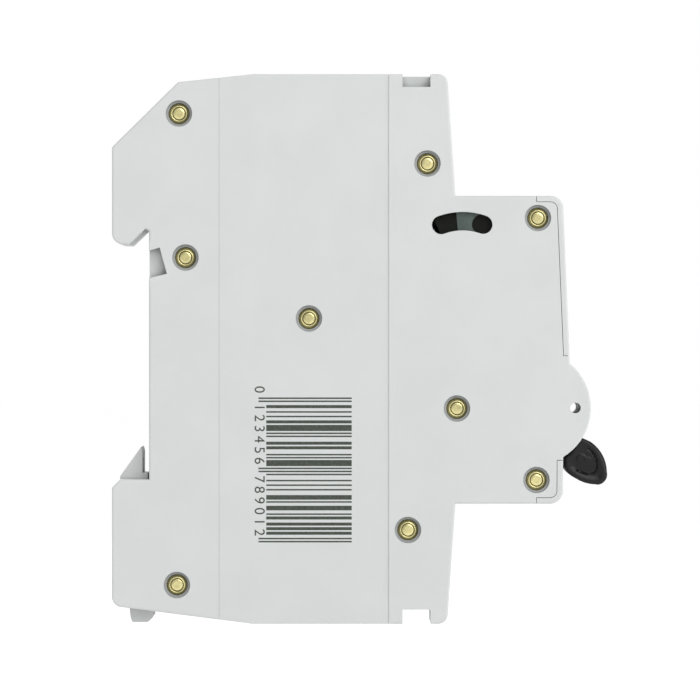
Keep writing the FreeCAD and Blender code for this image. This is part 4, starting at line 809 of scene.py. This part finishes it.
# Lamps as (name, place, watts): the key beside the left cover, a fill, and one on the far side.
LAMPS = [("key", (-0.8, -0.35, 0.45), 3.2), ("front", (-0.2, -0.95, 0.25), 2.0),
         ("far_side", (0.75, 0.15, 0.55), 2.8)]
LENS = 279.0
CAMERA_Y = -29.65 * MM       # mid depth of the view


def floor_material():
    """A pale sweep that the camera sees as white, with the object's shadow on it."""
    material, tree, place = blank_material("painted_backdrop")
    speck = add_node(tree, "ShaderNodeTexNoise", {"Vector": place, "Scale": 1 / (3 * MM)})
    tint = add_node(tree, "ShaderNodeMix", {
        "Factor": speck.outputs["Fac"], "A": tone(colours().floor, 0.98),
        "B": colours().floor}, data_type="RGBA")
    paint = add_node(tree, "ShaderNodeBsdfDiffuse", {"Color": tint.outputs["Result"]})
    ray = add_node(tree, "ShaderNodeLightPath").outputs
    seen = add_node(tree, "ShaderNodeMath",
                    {0: ray["Is Camera Ray"], 1: ray["Is Glossy Ray"]}, operation="MAXIMUM")
    seen = add_node(tree, "ShaderNodeMath",
                    {0: seen.outputs[0], 1: ray["Is Transmission Ray"]}, operation="MAXIMUM")
    share = add_node(tree, "ShaderNodeMath", {0: seen.outputs[0], 1: GLOW_SHARE},
                     operation="MULTIPLY")
    glow = add_node(tree, "ShaderNodeEmission", {"Strength": GLOW})
    mixed = add_node(tree, "ShaderNodeMixShader",
                     {0: share.outputs[0], 1: paint.outputs[0], 2: glow.outputs[0]})
    add_node(tree, "ShaderNodeOutputMaterial", {"Surface": mixed.outputs[0]})
    return material


def light_world():
    """A pale room: plain light on the object, white where a camera ray or a ray through a clear
    surface sees it.
    """
    world = bpy.data.worlds.new("studio")
    bpy.context.scene.world = world
    world.use_nodes = True
    tree = world.node_tree
    tree.nodes.clear()
    ray = add_node(tree, "ShaderNodeLightPath").outputs
    seen = add_node(tree, "ShaderNodeMath",
                    {0: ray["Is Camera Ray"], 1: ray["Is Transmission Ray"]}, operation="MAXIMUM")
    strength = add_node(tree, "ShaderNodeMapRange",
                        {"Value": seen.outputs[0], "To Min": ROOM, "To Max": 1.0})
    shine = add_node(tree, "ShaderNodeBackground",
                     {"Color": (1, 1, 1, 1), "Strength": strength.outputs["Result"]})
    add_node(tree, "ShaderNodeOutputWorld", {"Surface": shine.outputs[0]})


def add_lamp(name, place, target, watts):
    """Add a square lamp that faces the target."""
    lamp = bpy.data.lights.new(name, "AREA")
    lamp.size = LAMP_SIZE
    lamp.energy = watts
    holder = bpy.data.objects.new(name, lamp)
    holder.location = place
    holder.rotation_euler = (Vector(target) - Vector(place)).to_track_quat("-Z", "Y").to_euler()
    bpy.context.scene.collection.objects.link(holder)


class BREAKER_OT_stage(bpy.types.Operator):
    """Set the floor, the room, the lamps and the camera"""
    bl_idname = "breaker.stage"
    bl_label = "Stage"

    def execute(self, context):
        s = sizes()
        low, high = (Vector(corner) for corner in CAD_BOX)
        middle = (low + high) / 2
        floor = low.z - s.floor_gap
        corners = [(-1, -1), (1, -1), (1, 1), (-1, 1)]
        mesh = bpy.data.meshes.new("floor")
        mesh.from_pydata([(x * FLOOR_REACH, y * FLOOR_REACH, floor) for x, y in corners],
                         [], [(0, 1, 2, 3)])
        mesh.materials.append(floor_material())
        sweep = bpy.data.objects.new("floor", mesh)
        context.scene.collection.objects.link(sweep)

        light_world()
        for name, place, watts in LAMPS:
            add_lamp(name, place, middle, watts)

        lens = bpy.data.cameras.new("camera")
        lens.sensor_width = 36.0
        lens.lens = LENS
        lens.clip_start = 0.01
        camera = bpy.data.objects.new("camera", lens)
        camera.location = (low.x - s.camera_away, CAMERA_Y, 0.0)
        camera.rotation_euler = (math.pi / 2, 0.0, -math.pi / 2)
        context.scene.collection.objects.link(camera)
        context.scene.camera = camera
        context.scene.view_settings.view_transform = "Standard"
        return {"FINISHED"}


class BREAKER_PT_panel(bpy.types.Panel):
    """Lists the steps, sizes and colours"""
    bl_label = "Breaker"
    bl_space_type = "VIEW_3D"
    bl_region_type = "UI"
    bl_category = "Breaker"

    def draw(self, context):
        for step in STEPS:
            self.layout.operator(step.bl_idname)
        for group in (context.scene.breaker_sizes, context.scene.breaker_colours):
            column = self.layout.column()
            for name in group.__annotations__:
                column.prop(group, name)


STEPS = [BREAKER_OT_housing, BREAKER_OT_rivets, BREAKER_OT_print, BREAKER_OT_toggle,
         BREAKER_OT_mechanism, BREAKER_OT_conductors, BREAKER_OT_terminals,
         BREAKER_OT_residual_side, BREAKER_OT_stage]
CLASSES = [BreakerSizes, BreakerColours, *STEPS, BREAKER_PT_panel]


def register():
    for item in CLASSES:
        bpy.utils.register_class(item)
    bpy.types.Scene.breaker_sizes = bpy.props.PointerProperty(type=BreakerSizes)
    bpy.types.Scene.breaker_colours = bpy.props.PointerProperty(type=BreakerColours)


def unregister():
    del bpy.types.Scene.breaker_colours
    del bpy.types.Scene.breaker_sizes
    for item in reversed(CLASSES):
        bpy.utils.unregister_class(item)


def main():
    register()
    for step in STEPS:
        group, name = step.bl_idname.split(".")
        getattr(getattr(bpy.ops, group), name)()


if __name__ == "__main__":
    main()
